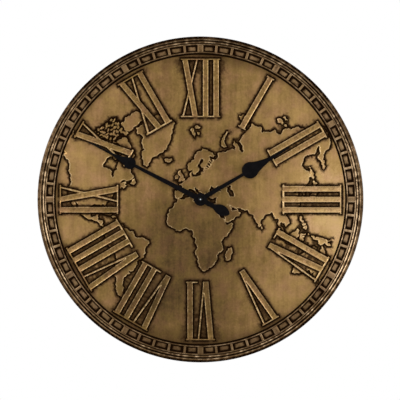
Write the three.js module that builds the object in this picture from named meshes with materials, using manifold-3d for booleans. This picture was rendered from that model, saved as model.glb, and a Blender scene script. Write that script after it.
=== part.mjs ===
// A round wall clock. Its dial is one sheet of metal, embossed with a world map and Roman numerals,
// and a quartz movement behind the dial turns two spade hands.
// Millimetres: X runs to the right and Z runs up as seen from the front, and +Y points into the wall.
// The origin lies on the wall, on the axis of the hands. A depth is a distance from the wall to the front.

import * as THREE from 'three';
import { mergeVertices } from 'three/addons/utils/BufferGeometryUtils.js';
import Module from 'manifold-3d';

// Fits shared by all pieces
const seatGap = 0.2;
const play = 0.25;

// Dial sheet: ring widths from the rolled edge inwards, then heights above the flat field
const dialRadius = 300;
const rollWidth = 8;
const beadWidth = 5;
const outerBorderWidth = 3.6;
const trackWidth = 11.6;
const innerBorderWidth = 2.8;
const grooveWidth = 3;
const dialBack = 27;
const sheetThickness = 1;
const grooveSink = 0.4;
const trackRise = 0.6;
const barRise = 2.2;
const borderRise = 2.6;
const beadRise = 4;
const rollRise = 4.8;
const landRise = 1.6;
const numeralRise = 3;
const returnLipWidth = 4.1;
const returnLipThickness = 1.1;

// World map on the dial: its scale for one radian and where longitude 0, latitude 0 lies
const mapScale = 102.9;
const mapX = -31.4;
const mapZ = -66;
const washerSeatRadius = 15;

// Minute track bars, in degrees of arc
const minuteBarArc = 1.05;
const hourBarArc = 2.3;

// Roman numerals
const numeralHeight = 107.8;
const numeralEdgeGap = 7;
const thickStroke = 10.2;
const thinStroke = 3;
const serifHeight = 2.6;
const serifOverhang = 2.6;
const strokePitch = 19.3;
const crossWidth = 29.5;
const crossPitch = 28.6;
const apexWidth = 8.3;

// Rim hoop, hanger plate, rivets and wall pads
const padThickness = 2.5;
const padRadius = 8;
const hoopThickness = 2;
const hoopFlangeWidth = 15.6;
const hoopFlangeThickness = 1.5;
const hoopLipWidth = 1.8;
const hoopLipThickness = 1.2;
const hoopClearance = 0.3;
const hangerWidth = 64;
const hangerHeight = 52;
const hangerThickness = 1.5;
const hangerCornerRadius = 5;
const hangerEdgeGap = 3.6;
const keyholeRadius = 5;
const keyholeSlotWidth = 5.2;
const keyholeSlotLength = 12;
const keyholeFromFoot = 12;
const rivetInset = 10;
const rivetRadius = 1.6;
const rivetHeadRadius = 3.2;
const rivetHeadHeight = 1.2;

// Movement case and cell
const batteryDiameter = 14.5;
const batteryBodyLength = 49.2;
const batteryButtonLength = 1.3;
const batteryButtonRadius = 2.75;
const batteryClearance = 0.4;
const contactRoom = 1.3;
const contactThickness = 0.4;
const caseWall = 1.6;
const caseCornerRadius = 3;
const caseDepth = 16.6;
const caseTop = 28;
const bayWall = 1.2;
const roomBelowAxis = 10.6;
const gasketThickness = 1;
const gasketRadius = 13;
const platePillarRadius = 2;
const middlePlateThickness = 1.2;

// Stack on the centre bush
const bushRadius = 5;
const bushCollarRadius = 7;
const bushCollarHeight = 1;
const bushAboveNut = 0.9;
const washerThickness = 1;
const washerRadius = 12;
const nutHeight = 3;
const nutAcrossFlats = 15;
const pipeRadius = 3;
const pipeWall = 0.8;
const arborRadius = 1.8;
const arborBoreRadius = 0.9;
const secondsArborRadius = 0.5;

// Hands
const handThickness = 1.2;
const hubRadius = 12;
const hourHandAngle = 59.6;
const hourTip = 189.5;
const hourSpadeCentre = 105.8;
const hourSpadeRadius = 15.2;
const hourNeck = 145;
const hourNeckHalfWidth = 3.7;
const hourShaftHalfWidth = 4.4;
const hourShaftEndHalfWidth = 2.8;
const minuteHandAngle = 297.2;
const minuteTip = 230.5;
const minuteSpadeCentre = 145.5;
const minuteSpadeRadius = 11;
const minuteNeck = 178;
const minuteNeckHalfWidth = 2.2;
const minuteShaftHalfWidth = 5;
const minuteShaftEndHalfWidth = 2.9;
const spadeFlankAngle = 33;
const tipHalfWidth = 1.1;
const tailLength = 59.4;
const tailWidest = 43.5;
const tailNeck = 26;
const tailHalfWidth = 9.7;
const tailNeckHalfWidth = 4.2;
const tailEndHalfWidth = 1.5;
const colletFlangeRadius = 8;
const colletFlangeHeight = 0.4;
const colletRadius = 5.2;
const colletHeight = 2.3;
const handSpacing = 1;
const capNutRadius = 4.6;
const capNutHeight = 4.2;

// Gears: tooth counts, and a module for each pair of centres
const cannonTeeth = 10;
const minuteWheelTeeth = 30;
const minutePinionTeeth = 8;
const hourWheelTeeth = 32;
const settingTeeth = 10;
const motionModule = 0.48;
const centreWheelTeeth = 64;
const thirdPinionTeeth = 8;
const thirdWheelTeeth = 60;
const secondsPinionTeeth = 8;
const secondsWheelTeeth = 40;
const fifthPinionTeeth = 8;
const fifthWheelTeeth = 48;
const rotorPinionTeeth = 8;
const centreModule = 0.2625;
const secondsModule = 0.41;
const fifthModule = 0.25;
const wheelThickness = 0.8;
const wheelSpacing = 0.6;
const pinionOverhang = 0.2;
const trainArborRadius = 0.55;
const studRadius = 0.7;

// Setting knob, motor and circuit
const knobRadius = 5.5;
const knobHeight = 3.2;
const knobShaftRadius = 1.2;
const magnetRadius = 3;
const magnetHeight = 3;
const statorThickness = 1;
const statorHoleGap = 0.4;
const statorWall = 1.5;
const statorArmWidth = 3.5;
const coreWidth = 3;
const coilHalfWidth = 3.9;
const bobbinWall = 0.6;
const bobbinFlange = 1;
const windingInset = 0.5;
const boardWidth = 18;
const boardHeight = 8.5;
const boardThickness = 1;
const crystalRadius = 1;
const crystalLength = 6;
const chipSide = 5;
const chipHeight = 1.2;

// Facets of round pieces
const dialSides = 60;
const roundSides = 20;
const smallSides = 10;

const wasm = await Module();
wasm.setup();
const clock = new THREE.Group();

const brass = { color: 0x8a6a3f, roughness: 0.42, metalness: 1 };
const bareBrass = { color: 0xb8924e, roughness: 0.35, metalness: 1 };
const blackPaint = { color: 0x141313, roughness: 0.45, metalness: 0.3 };
const darkSteel = { color: 0x3a3532, roughness: 0.5, metalness: 0.9 };
const steel = { color: 0x9a9a98, roughness: 0.35, metalness: 1 };
const blackPlastic = { color: 0x1b1b1c, roughness: 0.55, metalness: 0 };
const whitePlastic = { color: 0xe6e2d8, roughness: 0.5, metalness: 0 };
const rubber = { color: 0x202020, roughness: 0.9, metalness: 0 };
const copper = { color: 0xb06a3a, roughness: 0.4, metalness: 1 };
const greenBoard = { color: 0x2f5a38, roughness: 0.6, metalness: 0 };
const magnetGrey = { color: 0x55555a, roughness: 0.5, metalness: 0.6 };
const cellJacket = { color: 0x6d6f73, roughness: 0.4, metalness: 0.5 };

// A closed geometry as a solid that can be joined and cut, with its faces turned outwards
function solid(geometry) {
  geometry.deleteAttribute('normal');
  geometry.deleteAttribute('uv');
  const merged = mergeVertices(geometry, 1e-4);
  const vertProperties = Float32Array.from(merged.attributes.position.array);
  const corners = merged.index.array;
  const kept = [];
  for (let i = 0; i < corners.length; i += 3) {
    const [a, b, c] = corners.slice(i, i + 3);
    if (a !== b && b !== c && c !== a) kept.push(a, b, c);
  }
  const build = () => new wasm.Manifold(new wasm.Mesh({
    numProp: 3, vertProperties, triVerts: Uint32Array.from(kept),
  }));
  const made = build();
  if (made.volume() > 0) return made;
  kept.reverse();
  return build();
}

// A solid turned about the hands' axis, from a closed outline of [radius, depth] corners
function turned(outline, sides = roundSides) {
  const points = [...outline, outline[0]].map(([radius, depth]) => new THREE.Vector2(radius, -depth));
  return solid(new THREE.LatheGeometry(points, sides));
}

// A round rod between two depths
function rod(radius, back, front, sides = smallSides) {
  return turned([[0, back], [radius, back], [radius, front], [0, front]], sides);
}

// A flat piece with an outline seen from the front, between two depths
function plate(shape, back, front, curveSegments = 4) {
  const depth = front - back;
  const geometry = new THREE.ExtrudeGeometry(shape, { depth, bevelEnabled: false, curveSegments });
  geometry.rotateX(Math.PI / 2);
  geometry.translate(0, -back, 0);
  return solid(geometry);
}

// A piece with an outline seen from above, as [x, depth] corners, between two heights
function upright(corners, bottom, top) {
  const shape = new THREE.Shape(corners.map(([x, depth]) => new THREE.Vector2(x, -depth)));
  const geometry = new THREE.ExtrudeGeometry(shape, { depth: top - bottom, bevelEnabled: false });
  geometry.translate(0, 0, bottom);
  return solid(geometry);
}

function outline(corners) {
  return new THREE.Shape(corners.map(([x, z]) => new THREE.Vector2(x, z)));
}

function rectangle(left, bottom, right, top) {
  return outline([[left, bottom], [right, bottom], [right, top], [left, top]]);
}

function block(left, bottom, right, top, back, front) {
  return plate(rectangle(left, bottom, right, top), back, front);
}

function roundedRectangle(left, bottom, right, top, corner) {
  const shape = new THREE.Shape();
  shape.moveTo(left + corner, bottom);
  shape.lineTo(right - corner, bottom);
  shape.absarc(right - corner, bottom + corner, corner, -Math.PI / 2, 0);
  shape.absarc(right - corner, top - corner, corner, 0, Math.PI / 2);
  shape.absarc(left + corner, top - corner, corner, Math.PI / 2, Math.PI);
  shape.absarc(left + corner, bottom + corner, corner, Math.PI, 1.5 * Math.PI);
  return shape;
}

function joined(pieces) {
  return pieces.reduce((whole, piece) => whole.add(piece));
}

function at([x, z], piece) {
  return piece.translate([x, 0, z]);
}

function polar(radius, degrees, [x, z] = [0, 0]) {
  const angle = THREE.MathUtils.degToRad(degrees);
  return [x + radius * Math.cos(angle), z + radius * Math.sin(angle)];
}

function addPiece(name, piece, finish) {
  const made = piece.getMesh();
  const geometry = new THREE.BufferGeometry();
  geometry.setAttribute('position', new THREE.BufferAttribute(Float32Array.from(made.vertProperties), 3));
  geometry.setIndex(Array.from(made.triVerts));
  geometry.computeVertexNormals();
  const mesh = new THREE.Mesh(geometry, new THREE.MeshStandardMaterial(finish));
  mesh.name = name;
  clock.add(mesh);
}

// Coastlines, as [longitude, latitude] corners that run round each land
const northAmerica = [
  [-168, 66], [-163, 67], [-166, 68.4], [-157, 71.2], [-145, 70], [-136, 69], [-128, 70.2], [-115, 68.2],
  [-102, 67.8], [-96, 68], [-94, 71.5], [-90, 69], [-82, 69.5], [-81.5, 67], [-86.5, 66.2], [-88, 64],
  [-93, 62], [-94.7, 58.8], [-92.4, 57], [-82.3, 55.2], [-82, 53], [-80, 51.3], [-78.8, 52.5],
  [-79.5, 54.7], [-76.7, 57], [-78.4, 59], [-77.5, 62.4], [-73.5, 62.2], [-70, 61], [-69.5, 59],
  [-67.3, 58.4], [-64.7, 60.2], [-61.8, 57.5], [-56, 52.6], [-60, 50.2], [-66.5, 50.2], [-70, 47.6],
  [-64.5, 49.1], [-64.8, 47], [-60.2, 46.6], [-64, 44.5], [-66, 43.6], [-67, 44.8], [-70.3, 43.4],
  [-70, 41.7], [-74, 40.5], [-75.6, 37.3], [-75.8, 35.2], [-81.2, 31.5], [-80.2, 26], [-81.2, 25.2],
  [-82.7, 28], [-84, 30], [-89.5, 29.3], [-94, 29.5], [-97.3, 27.5], [-97.7, 22.5], [-96, 19], [-94, 18.2],
  [-91, 18.6], [-90.3, 21], [-87, 21.4], [-88.5, 16], [-83.3, 15], [-83.7, 11], [-81.6, 9], [-79.5, 9.5],
  [-77, 8.2], [-78.6, 7.4], [-80.3, 7.3], [-83, 8.3], [-85.7, 10], [-87.6, 13], [-92, 14.5], [-95, 16],
  [-100, 17], [-105.5, 20], [-105.5, 22.5], [-109.4, 26], [-113, 31], [-114.7, 31.6], [-112.5, 28],
  [-109.6, 23], [-112, 25], [-115, 28], [-117.2, 32.7], [-120.6, 34.6], [-122.5, 37.5], [-124.3, 40.4],
  [-124.2, 47.5], [-127.5, 51], [-130.3, 54.5], [-134, 58], [-139.8, 59.7], [-146, 61], [-151.5, 59.3],
  [-154.5, 58.3], [-158.5, 56], [-164, 54.6], [-157.5, 58.7], [-162, 58.8], [-165.5, 61.5], [-161, 64.2],
  [-166, 64.6],
];
const southAmerica = [
  [-77.5, 8.4], [-75.5, 10.7], [-71.8, 12.2], [-68, 11], [-62, 10.7], [-57, 6], [-51.5, 4.2], [-50, 0.5],
  [-44.5, -2.5], [-40, -2.9], [-35.2, -5.5], [-34.9, -8.2], [-39, -13], [-39, -17.5], [-41, -22],
  [-48.6, -26], [-52, -32.5], [-54.5, -34.9], [-58.3, -34], [-56.8, -36.5], [-62, -39], [-65, -41],
  [-67.5, -46], [-65.8, -47.7], [-69, -51.5], [-65.2, -54.8], [-70, -55.3], [-75, -50], [-73, -43],
  [-73.5, -37], [-71.5, -30], [-70.3, -19], [-76, -14], [-79.8, -7], [-81.2, -4.5], [-80, -1], [-77.5, 4],
  [-78, 7.2],
];
const africa = [
  [-5.9, 35.8], [-2, 35.1], [3, 36.9], [10, 37.3], [11, 35], [10.3, 34], [15, 32.3], [19.5, 30.4],
  [20.8, 32.7], [25, 31.6], [29, 30.9], [33.5, 31.3], [33.5, 29.5], [35.5, 24], [37.3, 20.8], [38.5, 18],
  [43, 12.4], [44.5, 10.4], [51.2, 11.8], [48, 4.5], [41.5, -2], [39, -6], [40.6, -11], [40.4, -15.5],
  [34.9, -20], [35.4, -24], [32.8, -28], [30, -31.3], [25.7, -34], [20, -34.8], [18.3, -33.5], [15, -27],
  [11.8, -17], [13.7, -10.7], [12.2, -6], [9, -0.7], [9.6, 3.8], [4.5, 6.3], [-2, 4.8], [-7.6, 4.4],
  [-13.3, 9], [-16.7, 12.3], [-17.4, 14.7], [-16.3, 19], [-17, 21], [-14.5, 26.2], [-10, 29.5],
  [-9.7, 31.5], [-6.5, 34],
];
const eurasia = [
  [-9, 37], [-9.4, 38.8], [-9.2, 43.1], [-1.8, 43.4], [-1.2, 46], [-4.7, 48.4], [-1.5, 48.7], [1.6, 50.9],
  [4.5, 52.3], [8, 53.8], [8.2, 56.8], [10.5, 57.6], [9.8, 54.6], [14.2, 53.9], [18.5, 54.7], [21, 55.3],
  [21.5, 57.4], [24.3, 57.2], [23.5, 59.2], [30, 59.9], [22, 60.2], [21.3, 62.5], [25.3, 65], [22.3, 65.7],
  [17.3, 62], [17, 60.6], [18.8, 59.8], [16.5, 57], [14.3, 55.5], [12.8, 55.5], [11.2, 59], [7, 58],
  [5.2, 60], [5, 62], [10, 64], [14.5, 67.8], [19, 69.8], [25.7, 71.1], [33, 69.4], [41, 67.2], [38, 66.1],
  [33, 66.8], [35, 64.2], [40, 64.6], [44, 66.1], [44.2, 68.3], [54, 68.3], [60.5, 69.2], [67, 68.8],
  [67, 71.5], [70, 73.2], [73, 71.5], [72.5, 68.5], [74, 67], [77.5, 68], [76, 72.4], [81, 73.7], [87, 75],
  [97, 76.2], [104.3, 77.7], [113.5, 75.6], [110, 73.6], [127, 73.3], [129.5, 71], [140, 72.5], [150, 71.6],
  [160, 69.7], [170, 70], [180, 68.9], [180, 65], [178, 62.5], [170, 60], [163, 58], [156.7, 51],
  [155.7, 56.5], [164, 62.4], [155, 59.3], [143, 59.3], [135.2, 54.8], [140.5, 51], [138, 46.5],
  [132, 43.2], [127.5, 39.7], [129.4, 36], [126.4, 34.5], [126.7, 37.5], [124.8, 39.8], [121.5, 39],
  [122, 40.6], [118, 39], [119, 37.3], [122.5, 37.2], [119.3, 35], [121.9, 31.5], [121.7, 28.5],
  [118, 24.4], [114, 22.4], [108.3, 21.6], [105.8, 19], [108.8, 15.3], [109.3, 12], [105, 8.7],
  [100.6, 13.5], [99.3, 10], [103.4, 4.2], [104.2, 1.4], [101.3, 2.9], [98.3, 8], [97.6, 16.5], [94.3, 16],
  [91.5, 22.6], [86.8, 20.6], [82.3, 16.7], [80.2, 15.5], [79.9, 10.3], [77.5, 8.1], [74.8, 13], [72.7, 20],
  [70, 20.9], [66.7, 25], [57, 26.8], [54, 26.6], [48, 30.2], [50.2, 26.5], [51.5, 24.4], [56.3, 26],
  [59.8, 22.5], [57.7, 19], [52, 15.6], [45, 12.8], [42.7, 16], [39, 21.5], [35, 28], [32.5, 30.5],
  [34.5, 31.6], [36, 36.8], [32.5, 36], [28, 36.7], [26.3, 38.5], [26, 40.7], [23.7, 40.4], [24, 38],
  [22.8, 36.6], [21.2, 37.8], [19.5, 41], [13.7, 45.6], [12.3, 45.3], [12.5, 44], [18.4, 40], [17, 40.5],
  [17, 39], [15.8, 38], [15.5, 40], [10.3, 43.5], [8.7, 44.3], [5, 43.4], [3.1, 42.4], [0, 39.7],
  [-0.5, 38], [-2.2, 36.8], [-5.6, 36],
];
const blackSea = [
  [28, 41.6], [28.6, 43.7], [30.7, 46.4], [33.5, 44.6], [36.5, 45.2], [38.2, 46.6], [38.2, 44.6], [41.6, 42],
  [36, 41.4], [31.3, 41.3],
];
const caspianSea = [
  [47.5, 45.5], [51, 47], [53, 46], [51, 44.5], [53.7, 42], [53.8, 37], [50, 37.3], [49, 40.5], [47.8, 43],
];
const greenland = [
  [-73, 78.2], [-66, 80.5], [-35, 83.5], [-14, 81.5], [-19, 77], [-20.5, 73.5], [-23, 70.5], [-32, 68],
  [-40, 65], [-43.5, 60], [-48.5, 61.2], [-52, 65], [-53.5, 68], [-51, 69.6], [-55, 71.5], [-58, 75.3],
  [-67, 76],
];
const australia = [
  [113.7, -22.5], [115.7, -32], [115, -34.2], [118, -35], [123.5, -34], [131.2, -31.5], [135, -34.7],
  [138, -33], [140.5, -38], [146.3, -39], [150, -37.4], [153.5, -28.5], [150.8, -23.5], [146.3, -19],
  [145.3, -15], [142.5, -10.7], [140.8, -17.5], [135.5, -15], [136.8, -12.2], [132.5, -11.3], [128.2, -15],
  [122.2, -18],
];
const islands = [
  [[-89, 71], [-85, 73.6], [-79, 73.6], [-72, 71.3], [-61.8, 66.6], [-66, 62], [-78, 64.6], [-73, 68.3]],
  [[-117, 70], [-118, 72.5], [-105, 72.8], [-102, 69.5], [-115, 69.1]],
  [[-125, 72], [-123, 74.2], [-118.5, 73.5], [-122, 71.3]],
  [[-89, 76.5], [-90, 81.5], [-75, 83], [-62, 82.4], [-72, 79.5], [-80, 76.3]],
  [[-117, 76], [-108, 76.7], [-106, 75.2], [-113, 74.6]],
  [[-102, 73], [-97, 74], [-91, 73.8], [-93, 72], [-100, 71.7]],
  [[-96, 76.7], [-88, 76.3], [-80, 75.7], [-81, 74.6], [-91.5, 74.8]],
  [[-97, 80], [-94, 81.2], [-91.5, 80], [-94, 78.3]],
  [[-104, 75], [-103.5, 76.4], [-98, 76.7], [-98, 75]],
  [[-105, 78], [-101, 79.4], [-97, 78.6], [-101, 77.4]],
  [[-122, 76], [-119, 77.4], [-114, 78], [-118, 76.3]],
  [[-87, 64], [-84, 66], [-80.3, 64], [-83, 62.3]],
  [[-74.3, 18.4], [-72.5, 19.8], [-68.5, 18.6], [-71.5, 17.8]],
  [[-59.3, 47.8], [-55.6, 51.6], [-53, 48.5], [-54.5, 46.8]],
  [[-84.8, 21.9], [-82.5, 23.2], [-74.3, 20.3], [-77.5, 19.9]],
  [[-24, 65.5], [-14.6, 66.4], [-13.7, 65], [-18.7, 63.4], [-22.7, 63.9]],
  [[11, 79.5], [18, 80.4], [27, 80], [21, 78], [16.5, 76.7]],
  [[-5.4, 50.1], [-5, 52], [-3, 53.8], [-6, 57.5], [-3.1, 58.6], [0.3, 53], [1.6, 52.5], [1.2, 51.2]],
  [[-10, 51.8], [-9.8, 54], [-7.3, 55.3], [-5.6, 54.5], [-6.3, 52.2]],
  [[52, 71], [54, 73], [60, 76.2], [68.5, 77], [58.5, 73.5], [57, 70.7]],
  [[96, 79], [95, 81], [104, 79.2], [101, 78]],
  [[138, 75], [142, 76], [150, 75.2], [143, 73.4]],
  [[142, 46.2], [142, 53.5], [143.5, 53.5], [144, 49]],
  [[140, 42], [141.7, 45.4], [145.3, 43.4], [143.2, 42]],
  [[130, 31.3], [130, 33.5], [137, 37], [141, 41.4], [142, 39.5], [140.8, 35.7], [136, 33.6]],
  [[120, 16], [120.7, 18.5], [122.2, 18.3], [124, 12.7]],
  [[122, 7], [126, 9.5], [126.3, 6.8], [125.3, 5.7]],
  [[109, 1.5], [113.5, 3.3], [117, 7], [119, 5.2], [116.3, -3.8], [110.2, -2.9]],
  [[95.3, 5.5], [97.5, 5.2], [106, -3], [105.8, -5.8], [102.3, -4]],
  [[105.3, -6.5], [114.4, -7.6], [114.4, -8.8], [108.5, -8]],
  [[119.5, -5.5], [119, -2.8], [120.5, 1.2], [125, 1.6], [121.2, -0.6], [122.5, -4.8]],
  [[131, -0.8], [134, -0.8], [135, -3.3], [138, -1.7], [147.8, -6.2], [150.8, -10.5], [143, -9], [138, -8.3],
    [133, -4]],
  [[144.7, -41], [148.3, -41], [147, -43.6]],
  [[49.3, -12.1], [50.4, -15.7], [47, -25], [44, -25], [44.4, -16.2]],
  [[79.8, 8], [80.2, 9.7], [81.8, 7.2], [80.5, 6]],
];

// The map's projection, which draws the whole world in a circle: degrees to a place on the dial
function onDial([longitude, latitude]) {
  const l = THREE.MathUtils.degToRad(longitude) || 1e-6;
  const t = Math.asin(Math.abs(latitude) / 90) || 1e-6;
  const a = 0.5 * Math.abs(Math.PI / l - l / Math.PI);
  const g = Math.cos(t) / (Math.sin(t) + Math.cos(t) - 1);
  const p = g * (2 / Math.sin(t) - 1);
  const q = a * a + g;
  const sum = p * p + a * a;
  const across = a * (g - p * p) + Math.sqrt(a * a * (g - p * p) ** 2 - sum * (g * g - p * p));
  const along = Math.abs(p * q - a * Math.sqrt((a * a + 1) * sum - q * q));
  const x = Math.sign(l) * Math.PI * across / sum;
  const z = Math.sign(latitude) * Math.PI * along / sum;
  return [mapX + mapScale * x, mapZ + mapScale * z];
}

// Radii and depths of the dial that other pieces share
const rollInner = dialRadius - rollWidth;
const beadInner = rollInner - beadWidth;
const trackOuter = beadInner - outerBorderWidth;
const trackInner = trackOuter - trackWidth;
const borderInner = trackInner - innerBorderWidth;
const fieldRadius = borderInner - grooveWidth;
const fieldFront = dialBack + sheetThickness;
const borderSlope = 0.7;
const returnLipRadius = dialRadius - returnLipWidth;
const returnLipBack = dialBack - 2.8;
const dialHoleRadius = bushRadius + play;

function dialBlank() {
  const groove = fieldFront - grooveSink;
  const border = fieldFront + borderRise;
  const track = fieldFront + trackRise;
  const beadMiddle = (rollInner + beadInner) / 2;
  const front = [
    [dialHoleRadius, fieldFront], [fieldRadius, fieldFront], [fieldRadius + borderSlope, groove],
    [borderInner - borderSlope, groove], [borderInner, border], [trackInner - borderSlope, border],
    [trackInner, track], [trackOuter, track], [trackOuter + borderSlope, border],
    [beadInner - borderSlope, border], [beadInner, track], [beadMiddle, fieldFront + beadRise],
    [rollInner, track], [rollInner + rollWidth * 0.2, fieldFront + rollRise * 0.8],
    [rollInner + rollWidth * 0.42, fieldFront + rollRise],
    [dialRadius - rollWidth * 0.2, fieldFront + rollRise * 0.7],
    [dialRadius, fieldFront + rollRise * 0.1], [dialRadius, dialBack - 1],
    [dialRadius - sheetThickness, returnLipBack],
  ];
  const lipFront = returnLipBack + returnLipThickness;
  const rollHollow = fieldFront + rollRise * 0.5;
  const back = [
    [returnLipRadius, returnLipBack], [returnLipRadius, lipFront],
    [dialRadius - 1.6 * sheetThickness, lipFront], [dialRadius - 1.3 * sheetThickness, dialBack],
    [dialRadius - 0.35 * rollWidth, rollHollow], [rollInner + 0.3 * rollWidth, rollHollow],
    [rollInner + 0.5, dialBack], [dialHoleRadius, dialBack],
  ];
  return turned([...front, ...back], dialSides);
}

function raisedLand() {
  const foot = dialBack + sheetThickness / 2;
  const top = fieldFront + landRise;
  const land = (coast) => plate(outline(coast.map(onDial)), foot, top);
  const sea = (coast) => plate(outline(coast.map(onDial)), foot - 1, top + 1);
  const mainland = land(eurasia).subtract(sea(blackSea)).subtract(sea(caspianSea));
  const others = [northAmerica, southAmerica, africa, greenland, australia, ...islands];
  const field = turned([[washerSeatRadius, foot - 1], [fieldRadius, foot - 1], [fieldRadius, top + 1],
    [washerSeatRadius, top + 1]], dialSides);
  return joined([mainland, ...others.map(land)]).intersect(field);
}

function minuteBars() {
  const back = dialBack + sheetThickness / 2;
  const front = fieldFront + barRise;
  const inner = trackInner - borderSlope / 2;
  const outer = trackOuter + borderSlope / 2;
  const bars = [];
  for (let minute = 0; minute < 60; minute += 1) {
    const arc = minute % 5 === 0 ? hourBarArc : minuteBarArc;
    const half = outer * Math.sin(THREE.MathUtils.degToRad(arc / 2));
    bars.push(block(-half, inner, half, outer, back, front).rotate([0, minute * 6, 0]));
  }
  return joined(bars);
}

// Strokes of a numeral, each a four-cornered outline with x across the numeral and z along the dial's radius
const numeralTop = fieldRadius - numeralEdgeGap;
const numeralFoot = numeralTop - numeralHeight;

function uprightStroke(x) {
  return [[[x - thickStroke / 2, numeralFoot], [x + thickStroke / 2, numeralFoot],
    [x + thickStroke / 2, numeralTop], [x - thickStroke / 2, numeralTop]]];
}

function slantStroke(footX, topX, width) {
  return [[footX - width / 2, numeralFoot], [footX + width / 2, numeralFoot],
    [topX + width / 2, numeralTop], [topX - width / 2, numeralTop]];
}

function crossStrokes(x) {
  const reach = (crossWidth - thickStroke) / 2;
  const thinReach = (crossWidth - thinStroke) / 2;
  return [
    slantStroke(x + reach, x - reach, thickStroke), slantStroke(x - thinReach, x + thinReach, thinStroke),
  ];
}

function veeStrokes(x) {
  const reach = (crossWidth - thickStroke) / 2;
  const thinReach = (crossWidth - thinStroke) / 2;
  const thinFoot = x + (apexWidth - thinStroke) / 2;
  return [slantStroke(x, x - reach, thickStroke), slantStroke(thinFoot, x + thinReach, thinStroke)];
}

const strokesOf = { I: uprightStroke, V: veeStrokes, X: crossStrokes };
const widthOf = { I: thickStroke, V: crossWidth, X: crossWidth };
const letterGap = strokePitch - thickStroke;
const crossGap = crossPitch - (crossWidth + thickStroke) / 2;

function numeral(letters) {
  const gaps = [...letters].map((letter, i) => {
    if (i === 0) return 0;
    return letter === 'I' && letters[i - 1] === 'I' ? letterGap : crossGap;
  });
  const width = [...letters].reduce((sum, letter, i) => sum + widthOf[letter] + gaps[i], 0);
  const strokes = [];
  let left = -width / 2;
  [...letters].forEach((letter, i) => {
    left += gaps[i];
    strokes.push(...strokesOf[letter](left + widthOf[letter] / 2));
    left += widthOf[letter];
  });
  const half = width / 2 + serifOverhang;
  const footLeft = letters.startsWith('V') ? -width / 2 + crossWidth : -half;
  const footRight = letters.endsWith('V') ? width / 2 - crossWidth : half;
  const bars = [[[-half, numeralTop - serifHeight], [half, numeralTop - serifHeight], [half, numeralTop],
    [-half, numeralTop]]];
  if (footRight > footLeft) {
    bars.push([[footLeft, numeralFoot], [footRight, numeralFoot], [footRight, numeralFoot + serifHeight],
      [footLeft, numeralFoot + serifHeight]]);
  }
  const back = dialBack + sheetThickness / 2;
  const front = fieldFront + numeralRise;
  return joined([...strokes, ...bars].map((corners) => plate(outline(corners), back, front)));
}

function numeralRing() {
  const hours = ['XII', 'I', 'II', 'III', 'IV', 'V', 'VI', 'VII', 'VIII', 'IX', 'X', 'XI'];
  return joined(hours.map((letters, hour) => numeral(letters).rotate([0, hour * 30, 0])));
}

addPiece('dial_sheet', joined([dialBlank(), raisedLand(), minuteBars(), numeralRing()]), brass);

// Rim hoop: a steel band whose front lip the dial's edge is rolled over, with a flange that faces the wall
const hoopOuter = returnLipRadius - hoopClearance;
const hoopInner = hoopOuter - hoopThickness;
const hoopBack = padThickness + seatGap;
const hoopFront = dialBack - seatGap;
const flangeInner = hoopOuter - hoopFlangeWidth;
const flangeFront = hoopBack + hoopFlangeThickness;
const lipBack = hoopFront - hoopLipThickness;
const rivetX = hangerWidth / 2 - rivetInset;
const rivetZ = (flangeInner + hoopInner) / 2 - (hangerWidth / dialRadius) ** 2;

function rimHoop() {
  const ring = turned([
    [flangeInner, hoopBack], [hoopOuter, hoopBack], [hoopOuter, lipBack], [hoopOuter + hoopLipWidth, lipBack],
    [hoopOuter + hoopLipWidth, hoopFront], [hoopInner, hoopFront], [hoopInner, flangeFront],
    [flangeInner, flangeFront],
  ], dialSides);
  return [-1, 1].reduce((hoop, side) => hoop.subtract(
    at([side * rivetX, rivetZ], rod(rivetRadius + play, hoopBack - 1, flangeFront + 1))), ring);
}

addPiece('rim_hoop', rimHoop(), darkSteel);

const hangerBack = flangeFront + seatGap;
const hangerFront = hangerBack + hangerThickness;
const hangerTop = hoopInner - hangerEdgeGap;
const hangerFoot = hangerTop - hangerHeight;

function hangerPlate() {
  const keyholeZ = hangerFoot + keyholeFromFoot;
  const slotTop = keyholeZ + keyholeSlotLength;
  const side = hangerWidth / 2;
  const edge = roundedRectangle(-side, hangerFoot, side, hangerTop, hangerCornerRadius);
  const blank = plate(edge, hangerBack, hangerFront);
  const entry = at([0, keyholeZ], rod(keyholeRadius, hangerBack - 1, hangerFront + 1, roundSides));
  const half = keyholeSlotWidth / 2;
  const slot = block(-half, keyholeZ, half, slotTop, hangerBack - 1, hangerFront + 1);
  const slotEnd = at([0, slotTop], rod(half, hangerBack - 1, hangerFront + 1, roundSides));
  const cut = joined([entry, slot, slotEnd]);
  return [-1, 1].reduce((piece, hand) => piece.subtract(
    at([hand * rivetX, rivetZ], rod(rivetRadius + play, hangerBack - 1, hangerFront + 1))),
  blank.subtract(cut));
}

addPiece('hanger_plate', hangerPlate(), darkSteel);

for (const [side, name] of [[-1, 'hanger_rivet_left'], [1, 'hanger_rivet_right']]) {
  const headBack = hangerFront + seatGap;
  const rivet = turned([
    [0, hoopBack + seatGap], [rivetRadius, hoopBack + seatGap], [rivetRadius, headBack],
    [rivetHeadRadius, headBack], [rivetHeadRadius * 0.7, headBack + rivetHeadHeight],
    [0, headBack + rivetHeadHeight],
  ], smallSides);
  addPiece(name, at([side * rivetX, rivetZ], rivet), steel);
}

const padCircle = (flangeInner + hoopOuter) / 2;
const padPlaces = { upper_right: 45, upper_left: 135, lower_left: 225, lower_right: 315 };
for (const [place, degrees] of Object.entries(padPlaces)) {
  const pad = turned([
    [0, 0], [padRadius * 0.85, 0], [padRadius, padThickness * 0.4], [padRadius, padThickness],
    [0, padThickness],
  ]);
  addPiece(`wall_pad_${place}`, at(polar(padCircle, degrees), pad), rubber);
}

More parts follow.
